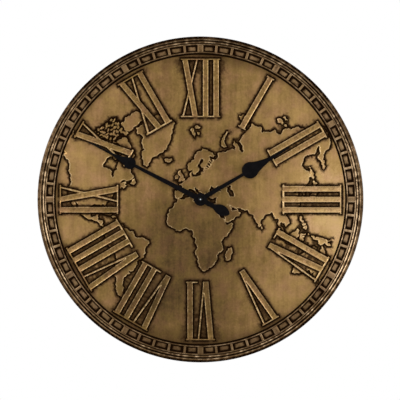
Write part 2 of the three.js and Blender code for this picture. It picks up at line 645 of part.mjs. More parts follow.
// Gear axes, each at its pair's centre distance from its neighbour
const axisO = [0, 0];
const centrePairTeeth = centreWheelTeeth + thirdPinionTeeth;
const motionPairTeeth = cannonTeeth + minuteWheelTeeth;
const thirdModule = centreModule * centrePairTeeth / (thirdWheelTeeth + secondsPinionTeeth);
const hourModule = motionModule * motionPairTeeth / (minutePinionTeeth + hourWheelTeeth);
const minuteDirection = 150;
const thirdDirection = 70;
const fifthDirection = 5;
const rotorDirection = -60;
const minuteAxis = polar(motionModule * motionPairTeeth / 2, minuteDirection);
const settingAxis = polar(motionModule * (minuteWheelTeeth + settingTeeth) / 2, minuteDirection, minuteAxis);
const thirdAxis = polar(centreModule * centrePairTeeth / 2, thirdDirection);
const fifthAxis = polar(secondsModule * (secondsWheelTeeth + fifthPinionTeeth) / 2, fifthDirection);
const rotorAxis = polar(fifthModule * (fifthWheelTeeth + rotorPinionTeeth) / 2, rotorDirection, fifthAxis);

// Movement case: a cup that opens to the wall, with the cell's bay across its foot
const caseFront = dialBack - gasketThickness - 2 * seatGap;
const caseBack = caseFront - caseDepth;
const coverFront = caseBack + caseWall;
const cupBack = coverFront + seatGap;
const innerFront = caseFront - caseWall;
const batteryLength = batteryBodyLength + batteryButtonLength;
const plateRight = rotorAxis[0] + magnetRadius + statorHoleGap + statorWall / 2;
const coilRoom = 2 * coilHalfWidth + 4 * seatGap;
const bayHalfLength = Math.max(batteryLength / 2 + contactRoom, plateRight + coilRoom);
const caseHalf = bayHalfLength + caseWall;
const bayTop = -roomBelowAxis - bayWall;
const bayFoot = bayTop - batteryDiameter - 2 * batteryClearance;
const caseFoot = bayFoot - caseWall;
const roomTop = caseTop - caseWall;

// Layers of the movement, from the front wall back to the rear cover
const hourWheelFront = innerFront - 2 * seatGap;
const hourWheelBack = hourWheelFront - wheelThickness - seatGap;
const cannonFront = hourWheelBack - wheelSpacing;
const cannonBack = cannonFront - wheelThickness - seatGap;
const middleFront = cannonBack - wheelSpacing;
const middleBack = middleFront - middlePlateThickness;
const centreFront = middleBack - wheelSpacing;
const centreBack = centreFront - wheelThickness;
const thirdFront = centreBack - wheelSpacing;
const thirdBack = thirdFront - wheelThickness;
const secondsFront = thirdBack - wheelSpacing;
const secondsBack = secondsFront - wheelThickness;
const fifthFront = secondsBack - wheelSpacing;
const fifthBack = fifthFront - wheelThickness;

// Tooth form, as shares of the module and of the tooth pitch
const addendum = 0.8;
const dedendum = 1.15;
const rootShare = 0.29;
const tipShare = 0.09;

// A toothed wheel whose phase is the direction of one tooth, in degrees
function gear(teeth, module, phase, back, front) {
  const pitch = 360 / teeth;
  const root = module * (teeth / 2 - dedendum);
  const tip = module * (teeth / 2 + addendum);
  const corners = [];
  for (let tooth = 0; tooth < teeth; tooth += 1) {
    const middle = phase + tooth * pitch;
    corners.push(polar(root, middle - rootShare * pitch), polar(tip, middle - tipShare * pitch));
    corners.push(polar(tip, middle + tipShare * pitch), polar(root, middle + rootShare * pitch));
  }
  return plate(outline(corners), back, front);
}

// The phase of a gear that meshes with one of the given teeth and phase and lies in a direction from that one
function meshPhase(teeth, phase, direction, mateTeeth) {
  const ahead = (direction - phase) * teeth / 360;
  return direction + 180 + (ahead + 0.5) * 360 / mateTeeth;
}

const caseOutline = () => roundedRectangle(-caseHalf, caseFoot, caseHalf, caseTop, caseCornerRadius);
const plateLeft = -bayHalfLength + 2 * seatGap;
const plateFoot = -roomBelowAxis + 2 * seatGap;
const plateTop = roomTop - 2 * seatGap;
const pillarInset = platePillarRadius + 0.6;
const pillars = [
  [plateLeft + pillarInset, plateFoot + pillarInset], [plateLeft + pillarInset, plateTop - pillarInset],
  [plateRight - pillarInset, plateFoot + pillarInset], [plateRight - pillarInset, plateTop - pillarInset],
];

function frontCase() {
  const cup = plate(caseOutline(), cupBack, caseFront);
  const room = block(-bayHalfLength, -roomBelowAxis, bayHalfLength, roomTop, cupBack - 1, innerFront);
  const bay = block(-bayHalfLength, bayFoot, bayHalfLength, bayTop, cupBack - 1, innerFront);
  const post = rod(platePillarRadius, middleFront + seatGap, innerFront + 0.5);
  const posts = pillars.map((place) => at(place, post));
  const bore = rod(bushRadius + play, innerFront - 1, caseFront + 1, roundSides);
  const collarSeat = rod(bushCollarRadius + play, innerFront - 1, innerFront + bushCollarHeight, roundSides);
  return joined([cup.subtract(room).subtract(bay), ...posts]).subtract(bore).subtract(collarSeat);
}

addPiece('movement_front_case', frontCase(), blackPlastic);

const pivotDepth = caseWall / 2;
const pivotBack = coverFront - pivotDepth + seatGap;

function rearCover() {
  const lid = plate(caseOutline(), caseBack, coverFront);
  const bay = block(-bayHalfLength, bayFoot, bayHalfLength, bayTop, caseBack - 1, coverFront + 1);
  const knobHole = at(settingAxis, rod(knobShaftRadius + play, caseBack - 1, coverFront + 1));
  const pivot = (radius) => rod(radius + play, coverFront - pivotDepth, coverFront + 1);
  const pivots = [thirdAxis, fifthAxis, rotorAxis].map((axis) => at(axis, pivot(trainArborRadius)));
  const cuts = [bay, knobHole, pivot(secondsArborRadius), ...pivots];
  return cuts.reduce((piece, cut) => piece.subtract(cut), lid);
}

addPiece('movement_rear_cover', rearCover(), blackPlastic);

// Middle plate: it carries the front pivots of the train, the minute wheel's stud, the board and the stator
const statorBack = secondsFront + seatGap;
const statorFront = statorBack + statorThickness;
const coilX = bayHalfLength - coilHalfWidth - seatGap;
const legLeft = rotorAxis[0] - magnetRadius / 4;
const legRight = rotorAxis[0] + magnetRadius;
const armFootTop = rotorAxis[1] - magnetRadius / 2;
const armFootBottom = armFootTop - statorArmWidth;
const armTopBottom = plateTop - 3 * platePillarRadius - 2 * statorArmWidth;
const armTopTop = armTopBottom + statorArmWidth;
const boardLeft = plateLeft + 2;
const boardTop = plateTop - 1;
const boardFoot = boardTop - boardHeight;
const boardFront = thirdBack - 2 * seatGap;
const boardBack = boardFront - boardThickness;

function middlePlate() {
  const sheet = block(plateLeft, plateFoot, plateRight, plateTop, middleBack, middleFront);
  const through = (axis, radius) => at(axis, rod(radius + play, middleBack - 1, middleFront + 1));
  const holes = [through(axisO, arborRadius + play), through(settingAxis, knobShaftRadius),
    ...[thirdAxis, fifthAxis, rotorAxis].map((axis) => through(axis, trainArborRadius))];
  const stud = at(minuteAxis, rod(studRadius, middleFront - 0.5, hourWheelFront));
  const boardStub = rod(studRadius * 1.6, boardFront + seatGap, middleBack + 0.5);
  const boardMiddle = (boardTop + boardFoot) / 2;
  const stubPlaces = [0.15, 0.85].map((share) => [boardLeft + share * boardWidth, boardMiddle]);
  const boardStubs = stubPlaces.map((place) => at(place, boardStub));
  const statorStub = at([(legLeft + legRight) / 2, (armTopBottom + armTopTop) / 2],
    rod(studRadius * 1.6, statorFront + seatGap, middleBack + 0.5));
  return joined([holes.reduce((piece, cut) => piece.subtract(cut), sheet), stud, ...boardStubs, statorStub]);
}

addPiece('movement_middle_plate', middlePlate(), whitePlastic);

// Centre bush with the pieces that clamp the dial between the case and the nut
const washerBack = fieldFront + seatGap;
const nutBack = washerBack + washerThickness + seatGap;
const nutFront = nutBack + nutHeight;
const bushFront = nutFront + bushAboveNut;
const bushBore = pipeRadius + play + 0.15;

const collarFront = innerFront + bushCollarHeight - seatGap;
addPiece('centre_bush', turned([
  [bushBore, innerFront], [bushCollarRadius, innerFront], [bushCollarRadius, collarFront],
  [bushRadius, collarFront], [bushRadius, bushFront], [bushBore, bushFront],
]), bareBrass);

function ring(inner, outer, back, front) {
  return turned([[inner, back], [outer, back], [outer, front], [inner, front]]);
}

const clampBore = bushRadius + play;
const washerFront = washerBack + washerThickness;
addPiece('dial_gasket', ring(clampBore, gasketRadius, caseFront + seatGap, dialBack - seatGap), rubber);
addPiece('dial_washer', ring(clampBore, washerRadius, washerBack, washerFront), bareBrass);

function hexNut() {
  const corner = nutAcrossFlats / Math.sqrt(3);
  const hexagon = outline([0, 60, 120, 180, 240, 300].map((degrees) => polar(corner, degrees)));
  return plate(hexagon, nutBack, nutFront).subtract(rod(clampBore, nutBack - 1, nutFront + 1, roundSides));
}

addPiece('dial_nut', hexNut(), bareBrass);

// Motion work
const pipeFront = bushFront + handSpacing * 3;
const colletBack = bushFront + 2 * seatGap;
const hourHandBack = colletBack + colletFlangeHeight + seatGap;
const hourHandFront = hourHandBack + handThickness;
const minuteHandBack = pipeFront + handSpacing;
const minuteHandFront = minuteHandBack + handThickness;
const nutSeat = minuteHandFront + seatGap;
const arborFront = nutSeat + capNutHeight * 0.5;
const pipeBore = pipeRadius - pipeWall;
const motionPhase = minuteDirection;
const minuteWheelPhase = meshPhase(cannonTeeth, motionPhase, minuteDirection, minuteWheelTeeth);
const settingPhase = meshPhase(minuteWheelTeeth, minuteWheelPhase, minuteDirection, settingTeeth);
const minutePinionPhase = minuteDirection;
const hourPhase = meshPhase(minutePinionTeeth, minutePinionPhase, minuteDirection + 180, hourWheelTeeth);

function minuteArbor() {
  const tube = turned([
    [arborBoreRadius, centreBack - seatGap], [arborRadius * 0.8, centreBack - seatGap],
    [arborRadius * 0.8, centreFront + seatGap], [arborRadius, centreFront + seatGap],
    [arborRadius, arborFront], [0, arborFront], [0, innerFront], [arborBoreRadius, innerFront],
  ], roundSides);
  const pinion = gear(cannonTeeth, motionModule, motionPhase, cannonBack, cannonFront + pinionOverhang);
  return joined([tube, pinion.subtract(rod(arborRadius * 0.9, cannonBack - 1, cannonFront + 1))]);
}

addPiece('minute_arbor', minuteArbor(), steel);

function minuteWheel() {
  const wheel = gear(minuteWheelTeeth, motionModule, minuteWheelPhase, cannonBack + seatGap, cannonFront);
  const pinionBack = cannonFront - seatGap;
  const pinion = gear(minutePinionTeeth, hourModule, minutePinionPhase, pinionBack, hourWheelFront);
  const bore = rod(studRadius + play, middleFront, innerFront);
  return at(minuteAxis, joined([wheel, pinion]).subtract(bore));
}

addPiece('minute_wheel', minuteWheel(), whitePlastic);

function hourWheel() {
  const wheel = gear(hourWheelTeeth, hourModule, hourPhase, hourWheelBack, hourWheelFront - seatGap);
  const pipe = rod(pipeRadius, hourWheelBack, pipeFront, roundSides);
  return joined([wheel, pipe]).subtract(rod(pipeBore, hourWheelBack - 1, pipeFront + 1, roundSides));
}

addPiece('hour_wheel', hourWheel(), whitePlastic);

function settingKnob() {
  const knobFront = caseBack - 2 * seatGap;
  const knobBack = knobFront - knobHeight;
  const knob = turned([
    [0, knobBack], [knobRadius * 0.9, knobBack], [knobRadius, knobBack + knobHeight * 0.2],
    [knobRadius, knobFront], [0, knobFront],
  ]);
  const shaft = rod(knobShaftRadius, knobFront - 0.5, cannonFront);
  const pinion = gear(settingTeeth, motionModule, settingPhase, cannonBack, cannonFront + pinionOverhang);
  return at(settingAxis, joined([knob, shaft, pinion]));
}

addPiece('setting_knob', settingKnob(), whitePlastic);

// Going train: the centre wheel drives the minute arbor through friction, so that the hands can be set
const arborReach = middleFront - seatGap;
const centrePhase = thirdDirection;
const thirdPinionPhase = meshPhase(centreWheelTeeth, centrePhase, thirdDirection, thirdPinionTeeth);
const thirdPhase = thirdDirection + 180;
const secondsPinionPhase = meshPhase(thirdWheelTeeth, thirdPhase, thirdDirection + 180, secondsPinionTeeth);
const secondsPhase = fifthDirection;
const fifthPinionPhase = meshPhase(secondsWheelTeeth, secondsPhase, fifthDirection, fifthPinionTeeth);
const fifthPhase = rotorDirection;
const rotorPhase = meshPhase(fifthWheelTeeth, fifthPhase, rotorDirection, rotorPinionTeeth);

function trainWheel(axis, wheel, pinion) {
  return at(axis, joined([wheel, pinion, rod(trainArborRadius, pivotBack, arborReach)]));
}

addPiece('centre_wheel', gear(centreWheelTeeth, centreModule, centrePhase, centreBack, centreFront)
  .subtract(rod(arborRadius * 0.8 + play, centreBack - 1, centreFront + 1, roundSides)), whitePlastic);
// A pinion that stands on its own wheel's front and reaches past the front of the wheel that drives it
function pinionOn(teeth, module, phase, wheelFront, mateFront) {
  return gear(teeth, module, phase, wheelFront - seatGap, mateFront + pinionOverhang);
}

addPiece('third_wheel', trainWheel(thirdAxis,
  gear(thirdWheelTeeth, thirdModule, thirdPhase, thirdBack, thirdFront),
  pinionOn(thirdPinionTeeth, centreModule, thirdPinionPhase, thirdFront, centreFront),
), whitePlastic);
addPiece('seconds_wheel', joined([
  gear(secondsWheelTeeth, secondsModule, secondsPhase, secondsBack, secondsFront),
  pinionOn(secondsPinionTeeth, thirdModule, secondsPinionPhase, secondsFront, thirdFront),
  rod(secondsArborRadius, pivotBack, hourWheelBack),
]), whitePlastic);
addPiece('fifth_wheel', trainWheel(fifthAxis,
  gear(fifthWheelTeeth, fifthModule, fifthPhase, fifthBack, fifthFront),
  pinionOn(fifthPinionTeeth, secondsModule, fifthPinionPhase, fifthFront, secondsFront),
), whitePlastic);

const magnetBack = fifthFront + wheelSpacing;
const magnetFront = magnetBack + magnetHeight;
addPiece('rotor_pinion', at(rotorAxis, joined([
  gear(rotorPinionTeeth, fifthModule, rotorPhase, fifthBack - pinionOverhang, fifthFront + pinionOverhang),
  rod(trainArborRadius, pivotBack, arborReach),
])), whitePlastic);
const magnet = ring(trainArborRadius + play, magnetRadius, magnetBack, magnetFront);
addPiece('rotor_magnet', at(rotorAxis, magnet), magnetGrey);

// Motor: a stator plate round the rotor, and a coil on a core that closes the magnetic circuit
function stator() {
  const hubSize = magnetRadius + statorHoleGap + statorWall;
  const hub = at(rotorAxis, rod(hubSize, statorBack, statorFront, roundSides));
  const leg = block(legLeft, armFootBottom, legRight, armTopTop, statorBack, statorFront);
  const topArm = block(legLeft, armTopBottom, coilX + coreWidth, armTopTop, statorBack, statorFront);
  const footArm = block(legLeft, armFootBottom, coilX + coreWidth, armFootTop, statorBack, statorFront);
  const hole = at(rotorAxis, rod(magnetRadius + statorHoleGap, statorBack - 1, statorFront + 1, roundSides));
  return joined([hub, leg, topArm, footArm]).subtract(hole);
}

addPiece('stator', stator(), steel);

const coreBack = statorFront + seatGap;
const coreFront = coreBack + statorThickness;
const coreHalf = coreWidth / 2;
const coilDepth = (coreBack + coreFront) / 2;
const core = block(coilX - coreHalf, armFootBottom, coilX + coreHalf, armTopTop, coreBack, coreFront);
addPiece('coil_core', core, steel);

// A square sleeve round the coil's core between two heights
function sleeve(halfWidth, halfDepth, bottom, top, holeHalfWidth, holeHalfDepth) {
  const box = (w, d, low, high) => block(coilX - w, low, coilX + w, high, coilDepth - d, coilDepth + d);
  const hole = box(holeHalfWidth, holeHalfDepth, bottom - 1, top + 1);
  return box(halfWidth, halfDepth, bottom, top).subtract(hole);
}

const bobbinFoot = armFootTop + 2 * seatGap;
const bobbinTop = armTopBottom - 2 * seatGap;
const boreHalfWidth = coreHalf + seatGap;
const boreHalfDepth = statorThickness / 2 + seatGap;
const tubeHalfWidth = boreHalfWidth + bobbinWall;
const tubeHalfDepth = boreHalfDepth + bobbinWall;
addPiece('coil_bobbin', joined([
  sleeve(coilHalfWidth, coilHalfWidth, bobbinFoot, bobbinFoot + bobbinFlange, boreHalfWidth, boreHalfDepth),
  sleeve(tubeHalfWidth, tubeHalfDepth, bobbinFoot, bobbinTop, boreHalfWidth, boreHalfDepth),
  sleeve(coilHalfWidth, coilHalfWidth, bobbinTop - bobbinFlange, bobbinTop, boreHalfWidth, boreHalfDepth),
]), whitePlastic);
const windingHalf = coilHalfWidth - windingInset;
addPiece('coil_winding', sleeve(windingHalf, windingHalf, bobbinFoot + bobbinFlange + seatGap,
  bobbinTop - bobbinFlange - seatGap, tubeHalfWidth + seatGap, tubeHalfDepth + seatGap), copper);

// Circuit board with its crystal can and its chip
const board = block(boardLeft, boardFoot, boardLeft + boardWidth, boardTop, boardBack, boardFront);
addPiece('circuit_board', board, greenBoard);
const partsFront = boardBack - seatGap;
const crystalZ = boardFoot + 2 * crystalRadius;
const crystal = rod(crystalRadius, 0, crystalLength).rotate([0, 0, 90]);
addPiece('quartz_crystal', crystal.translate([boardLeft + 2, crystalRadius - partsFront, crystalZ]), steel);
const chipLeft = boardLeft + boardWidth - chipSide - 1.5;
const chipFoot = boardTop - chipSide - 1.5;
addPiece('clock_chip', block(chipLeft, chipFoot, chipLeft + chipSide, chipFoot + chipSide,
  partsFront - chipHeight, partsFront), blackPlastic);

// Cell and its two contacts
const batteryZ = (bayTop + bayFoot) / 2;
const batteryDepth = innerFront - batteryClearance - batteryDiameter / 2;
const batteryRadius = batteryDiameter / 2;
const cell = turned([
  [0, 0], [batteryRadius * 0.93, 0], [batteryRadius, batteryRadius * 0.07],
  [batteryRadius, batteryBodyLength - batteryRadius * 0.07], [batteryRadius * 0.93, batteryBodyLength],
  [batteryButtonRadius, batteryBodyLength], [batteryButtonRadius, batteryLength], [0, batteryLength],
]).rotate([0, 0, 90]);
addPiece('battery', cell.translate([-batteryLength / 2, -batteryDepth, batteryZ]), cellJacket);

const contactFoot = batteryZ - batteryRadius / 2;
const contactTop = batteryZ + batteryRadius / 2;
const contactFront = innerFront - seatGap;
const plusLeft = batteryLength / 2 + seatGap;
const plusRight = plusLeft + contactThickness;
addPiece('contact_plus', upright([
  [plusLeft, coverFront], [plusRight, coverFront], [plusRight, contactFront], [plusLeft, contactFront],
], contactFoot, contactTop), steel);
const leafBase = -bayHalfLength + seatGap;
const leafPeak = -batteryLength / 2 - seatGap - contactThickness;
addPiece('contact_minus', upright([
  [leafBase, coverFront], [leafBase + contactThickness, coverFront],
  [leafPeak + contactThickness, batteryDepth], [leafBase + contactThickness, contactFront],
  [leafBase, contactFront], [leafPeak, batteryDepth],
], contactFoot, contactTop), steel);

// Hands: an outline that points to 12, given on its right side and mirrored, then turned to its clock angle
function handShape(side) {
  const shape = new THREE.Shape();
  const [firstX, firstZ] = side[0];
  shape.moveTo(firstX, firstZ);
  for (const [x, z, bendX, bendZ] of side.slice(1)) {
    if (bendX === undefined) shape.lineTo(x, z);
    else shape.quadraticCurveTo(bendX, bendZ, x, z);
  }
  for (let i = side.length - 1; i >= 0; i -= 1) {
    const [x, z] = side[i];
    const [, , bendX, bendZ] = side[i + 1] ?? [];
    if (bendX === undefined) shape.lineTo(-x, z);
    else shape.quadraticCurveTo(-bendX, bendZ, -x, z);
  }
  return shape;
}

// The right side of a spade: a round bulb on the shaft's end, and a flank that narrows to neck and tip
function spade({ shaftEnd, centre, radius, neck, neckHalf, tip }) {
  const firstAngle = -Math.acos(shaftEnd / radius);
  const lastAngle = THREE.MathUtils.degToRad(spadeFlankAngle);
  const steps = 3;
  const half = (lastAngle - firstAngle) / steps / 2;
  const onBulb = (angle, reach = radius) => [reach * Math.cos(angle), centre + reach * Math.sin(angle)];
  const side = [onBulb(firstAngle)];
  for (let i = 0; i < steps; i += 1) {
    const angle = firstAngle + 2 * half * i;
    side.push([...onBulb(angle + 2 * half), ...onBulb(angle + half, radius / Math.cos(half))]);
  }
  const [flankX, flankZ] = onBulb(lastAngle);
  const flank = radius * 0.57;
  side.push([neckHalf, neck, flankX - flank * Math.sin(lastAngle), flankZ + flank * Math.cos(lastAngle)]);
  side.push([tipHalfWidth, tip]);
  return side;
}

const hourHandShape = handShape([
  [hourShaftHalfWidth, 0],
  ...spade({
    shaftEnd: hourShaftEndHalfWidth, centre: hourSpadeCentre, radius: hourSpadeRadius,
    neck: hourNeck, neckHalf: hourNeckHalfWidth, tip: hourTip,
  }),
]);
const hourHand = joined([
  plate(hourHandShape, hourHandBack, hourHandFront),
  rod(hubRadius * 0.85, hourHandBack, hourHandFront, roundSides),
]).subtract(rod(colletRadius + play, hourHandBack - 1, hourHandFront + 1, roundSides));
addPiece('hour_hand', hourHand.rotate([0, hourHandAngle, 0]), blackPaint);

const colletBore = pipeRadius + play;
const flangeSeat = colletBack + colletFlangeHeight;
addPiece('hour_collet', turned([
  [colletBore, colletBack], [colletFlangeRadius, colletBack], [colletFlangeRadius, flangeSeat],
  [colletRadius, flangeSeat], [colletRadius, colletBack + colletHeight],
  [colletBore, colletBack + colletHeight],
]), bareBrass);

const bulbLength = tailWidest - tailNeck;
const minuteHandShape = handShape([
  [tailEndHalfWidth, -tailLength],
  [tailHalfWidth, -tailWidest, tailHalfWidth * 0.93, -(tailWidest + (tailLength - tailWidest) * 0.66)],
  [tailHalfWidth * 0.78, -(tailNeck + bulbLength * 0.46), tailHalfWidth, -(tailNeck + bulbLength * 0.68)],
  [tailNeckHalfWidth, -tailNeck, tailHalfWidth * 0.52, -(tailNeck + bulbLength * 0.24)],
  [minuteShaftHalfWidth, 0],
  ...spade({
    shaftEnd: minuteShaftEndHalfWidth, centre: minuteSpadeCentre, radius: minuteSpadeRadius,
    neck: minuteNeck, neckHalf: minuteNeckHalfWidth, tip: minuteTip,
  }),
]);
const minuteHand = joined([
  plate(minuteHandShape, minuteHandBack, minuteHandFront),
  rod(hubRadius, minuteHandBack, minuteHandFront, roundSides),
]).subtract(rod(arborRadius + play, minuteHandBack - 1, minuteHandFront + 1, roundSides));
addPiece('minute_hand', minuteHand.rotate([0, minuteHandAngle, 0]), blackPaint);

const capBore = arborRadius + play;
addPiece('hand_cap_nut', turned([
  [capBore, nutSeat], [capNutRadius, nutSeat], [capNutRadius, nutSeat + capNutHeight * 0.5],
  [capNutRadius * 0.8, nutSeat + capNutHeight * 0.82], [capNutRadius * 0.35, nutSeat + capNutHeight],
  [0, nutSeat + capNutHeight], [0, arborFront + seatGap], [capBore, arborFront + seatGap],
]), blackPaint);

export default clock;
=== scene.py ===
import math
import random

import bmesh
import bpy
import numpy as np
from mathutils import Matrix, Vector
from mathutils.geometry import delaunay_2d_cdt


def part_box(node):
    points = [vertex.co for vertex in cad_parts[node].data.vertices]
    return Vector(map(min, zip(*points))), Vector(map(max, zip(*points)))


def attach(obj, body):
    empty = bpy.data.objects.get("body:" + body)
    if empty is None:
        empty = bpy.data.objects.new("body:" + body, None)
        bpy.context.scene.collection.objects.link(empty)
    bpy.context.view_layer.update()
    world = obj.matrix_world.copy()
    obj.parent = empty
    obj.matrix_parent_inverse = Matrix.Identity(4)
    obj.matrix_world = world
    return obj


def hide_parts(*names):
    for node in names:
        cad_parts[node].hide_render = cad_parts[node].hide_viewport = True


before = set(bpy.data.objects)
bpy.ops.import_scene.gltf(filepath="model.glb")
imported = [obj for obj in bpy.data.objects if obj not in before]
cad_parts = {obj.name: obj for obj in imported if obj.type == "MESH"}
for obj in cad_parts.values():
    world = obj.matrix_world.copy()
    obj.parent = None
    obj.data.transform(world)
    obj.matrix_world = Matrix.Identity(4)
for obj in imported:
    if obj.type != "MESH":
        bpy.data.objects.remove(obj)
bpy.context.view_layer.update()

# Rim hoop
# A band of steel rolled into a hoop, with a lip at the front that the dial's edge is rolled over and a flange
# that faces the wall. It is lacquered dark brown and stands the dial off the wall.

HOOP_RADIUS = 0.2956
HOOP_THICKNESS = 0.002
HOOP_REAR = 0.0027
HOOP_FRONT = 0.0268
HOOP_BEND = 0.0005
FLANGE_RADIUS = 0.28
FLANGE_THICKNESS = 0.0015
LIP_RADIUS = 0.2974
LIP_THICKNESS = 0.0012
HOOP_STEPS = 240
FINE_GRAIN = 900.0


def join(tree, made, inputs):
    """Sets a node's inputs to numbers, or links them to the outputs of other nodes."""
    for key, value in inputs.items():
        if isinstance(value, bpy.types.NodeSocket):
            tree.links.new(value, made.inputs[key])
        else:
            made.inputs[key].default_value = value


def add_node(tree, kind, settings=None, inputs=None):
    """A node of that kind, with its settings and its inputs."""
    made = tree.nodes.new(kind)
    for key, value in (settings or {}).items():
        setattr(made, key, value)
    join(tree, made, inputs or {})
    return made


def shader(name, roughness, metallic=0.0):
    """A new material, with its tree, its shader and the place of each point in the clock's frame."""
    material = bpy.data.materials.new(name)
    material.use_nodes = True
    tree = material.node_tree
    principled = tree.nodes["Principled BSDF"]
    join(tree, principled, {"Roughness": roughness, "Metallic": metallic})
    place = add_node(tree, "ShaderNodeTexCoord").outputs["Object"]
    return material, tree, principled, place


def mapped(tree, place, location=(0.0, 0.0, 0.0), scale=(1.0, 1.0, 1.0)):
    """The place, stretched and then moved."""
    made = add_node(tree, "ShaderNodeMapping", inputs={"Vector": place, "Location": location, "Scale": scale})
    return made.outputs["Vector"]


def noise(tree, place, scale, detail=5.0, roughness=0.6):
    """A pattern of soft random spots, each about as wide as a metre divided by the scale."""
    made = add_node(tree, "ShaderNodeTexNoise",
                    inputs={"Vector": place, "Scale": scale, "Detail": detail, "Roughness": roughness})
    return made.outputs["Fac"]


def ranged(tree, value, first, last, kind="LINEAR"):
    """A value carried from one range to another, each range as (from, to) at its first and last end."""
    made = add_node(tree, "ShaderNodeMapRange", {"interpolation_type": kind},
                    {"Value": value, "From Min": first[0], "To Min": first[1], "From Max": last[0],
                     "To Max": last[1]})
    return made.outputs["Result"]


def ramp(tree, factor, stops):
    """A colour ramp on a factor, from (place, linear colour) stops."""
    made = add_node(tree, "ShaderNodeValToRGB", inputs={"Fac": factor})
    while len(made.color_ramp.elements) < len(stops):
        made.color_ramp.elements.new(0.5)
    for element, (place, colour) in zip(made.color_ramp.elements, stops):
        element.position = place
        element.color = (*colour, 1.0)
    return made.outputs["Color"]


def bumped(tree, height, strength, depth):
    """The surface's direction, roughened by a height."""
    made = add_node(tree, "ShaderNodeBump",
                    inputs={"Height": height, "Strength": strength, "Distance": depth})
    return made.outputs["Normal"]


def speckled(name, dark, light, roughness, metallic=0.0, scale=60.0, stretch=(1.0, 1.0, 1.0), bump=0.05):
    """A finish whose colour, gloss and surface vary by noise."""
    material, tree, principled, place = shader(name, roughness, metallic)
    grain = noise(tree, mapped(tree, place, scale=stretch), scale, 6.0)
    fine = noise(tree, place, FINE_GRAIN, 3.0, 0.5)
    join(tree, principled, {
        "Base Color": ramp(tree, grain, [(0.3, dark), (0.7, light)]),
        "Roughness": ranged(tree, grain, (0.0, roughness - 0.08), (1.0, roughness + 0.08)),
        "Normal": bumped(tree, fine, bump, 0.0005),
    })
    return material


def cleaned(mesh):
    """Merges a mesh's doubles and turns its faces outwards."""
    work = bmesh.new()
    work.from_mesh(mesh)
    bmesh.ops.remove_doubles(work, verts=work.verts, dist=1e-7)
    bmesh.ops.recalc_face_normals(work, faces=work.faces)
    work.to_mesh(mesh)
    work.free()


def smoothed(mesh, material, angle):
    """Gives a mesh its finish, smooth except at edges sharper than the angle in degrees."""
    mesh.materials.clear()
    mesh.materials.append(material)
    mesh.shade_smooth()
    mesh.set_sharp_from_angle(angle=math.radians(angle))


def shown(name, data):
    """A new object at the origin."""
    made = bpy.data.objects.new(name, data)
    bpy.context.scene.collection.objects.link(made)
    return made


def closed_piece(name, vertices, faces, material, angle=35.0):
    """A piece in the clock's frame from its vertices and faces."""
    mesh = bpy.data.meshes.new(name)
    mesh.from_pydata([tuple(v) for v in vertices], [], [tuple(f) for f in faces])
    cleaned(mesh)
    smoothed(mesh, material, angle)
    return shown(name, mesh)


def mounted(piece, body):
    """The piece, which from now on moves with a body."""
    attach(piece, body)
    return piece


def turned(outline, steps, centre=(0.0, 0.0)):
    """Vertices and faces of a closed outline of (radius, depth) corners, turned about an axis."""
    vertices = []
    for step in range(steps):
        angle = 2 * math.pi * step / steps
        for radius, depth in outline:
            x = centre[0] + radius * math.sin(angle)
            z = centre[1] + radius * math.cos(angle)
            vertices.append((x, -depth, z))
    count = len(outline)
    on_axis = [radius < 1e-9 for radius, _ in outline]
    faces = []
    for step in range(steps):
        here = step * count
        following = (step + 1) % steps * count
        for i in range(count):
            j = (i + 1) % count
            if on_axis[i] and on_axis[j]:
                continue
            if on_axis[i]:
                faces.append([i, here + j, following + j])
            elif on_axis[j]:
                faces.append([here + i, j, following + i])
            else:
                faces.append([here + i, here + j, following + j, following + i])
    return vertices, faces


rim_lacquer = speckled("rim_lacquer", (0.018, 0.012, 0.008), (0.05, 0.034, 0.022), 0.42, 0.6, 45.0)
lip_rear = HOOP_FRONT - LIP_THICKNESS
hoop_inner = HOOP_RADIUS - HOOP_THICKNESS
flange_front = HOOP_REAR + FLANGE_THICKNESS
hoop_outline = [
    (FLANGE_RADIUS, HOOP_REAR), (HOOP_RADIUS - HOOP_BEND, HOOP_REAR), (HOOP_RADIUS, HOOP_REAR + HOOP_BEND),
    (HOOP_RADIUS, lip_rear), (LIP_RADIUS, lip_rear), (LIP_RADIUS, HOOP_FRONT), (hoop_inner, HOOP_FRONT),
    (hoop_inner, flange_front), (FLANGE_RADIUS, flange_front),
]
hoop = closed_piece("rim_band", *turned(hoop_outline, HOOP_STEPS), rim_lacquer)
mounted(hoop, "clock_body")
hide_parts("rim_hoop")

# Hanger plate and its rivets
# A stamped steel plate, painted dark, with a keyhole for one screw in the wall. Two plain steel rivets with
# domed heads hold it to the hoop's flange.

RIVET_RADIUS = 0.0016
RIVET_HEAD = 0.0012
RIVET_STEPS = 32
plate_steel = speckled("plate_steel", (0.03, 0.028, 0.026), (0.075, 0.07, 0.066), 0.45, 0.8, 70.0)
rivet_steel = speckled("rivet_steel", (0.28, 0.28, 0.27), (0.45, 0.45, 0.44), 0.38, 1.0, 90.0)


def dress(node, material):
    """A CAD node keeps its shape and gets this material."""
    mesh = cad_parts[node].data
    mesh.materials.clear()
    mesh.materials.append(material)


dress("hanger_plate", plate_steel)
for node in ("hanger_rivet_left", "hanger_rivet_right"):
    low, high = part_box(node)
    middle = ((low.x + high.x) / 2, (low.z + high.z) / 2)
    rear, front = -high.y, -low.y
    head = front - RIVET_HEAD
    rivet_outline = [
        (0.0, rear), (RIVET_RADIUS, rear), (RIVET_RADIUS, head), (0.0031, head), (0.0029, head + 0.0005),
        (0.0022, head + 0.0009), (0.0011, front), (0.0, front),
    ]
    rivet_shape = turned(rivet_outline, RIVET_STEPS, middle)
    rivet = closed_piece(node.replace("hanger_", ""), *rivet_shape, rivet_steel)
    mounted(rivet, "clock_body")
    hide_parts(node)

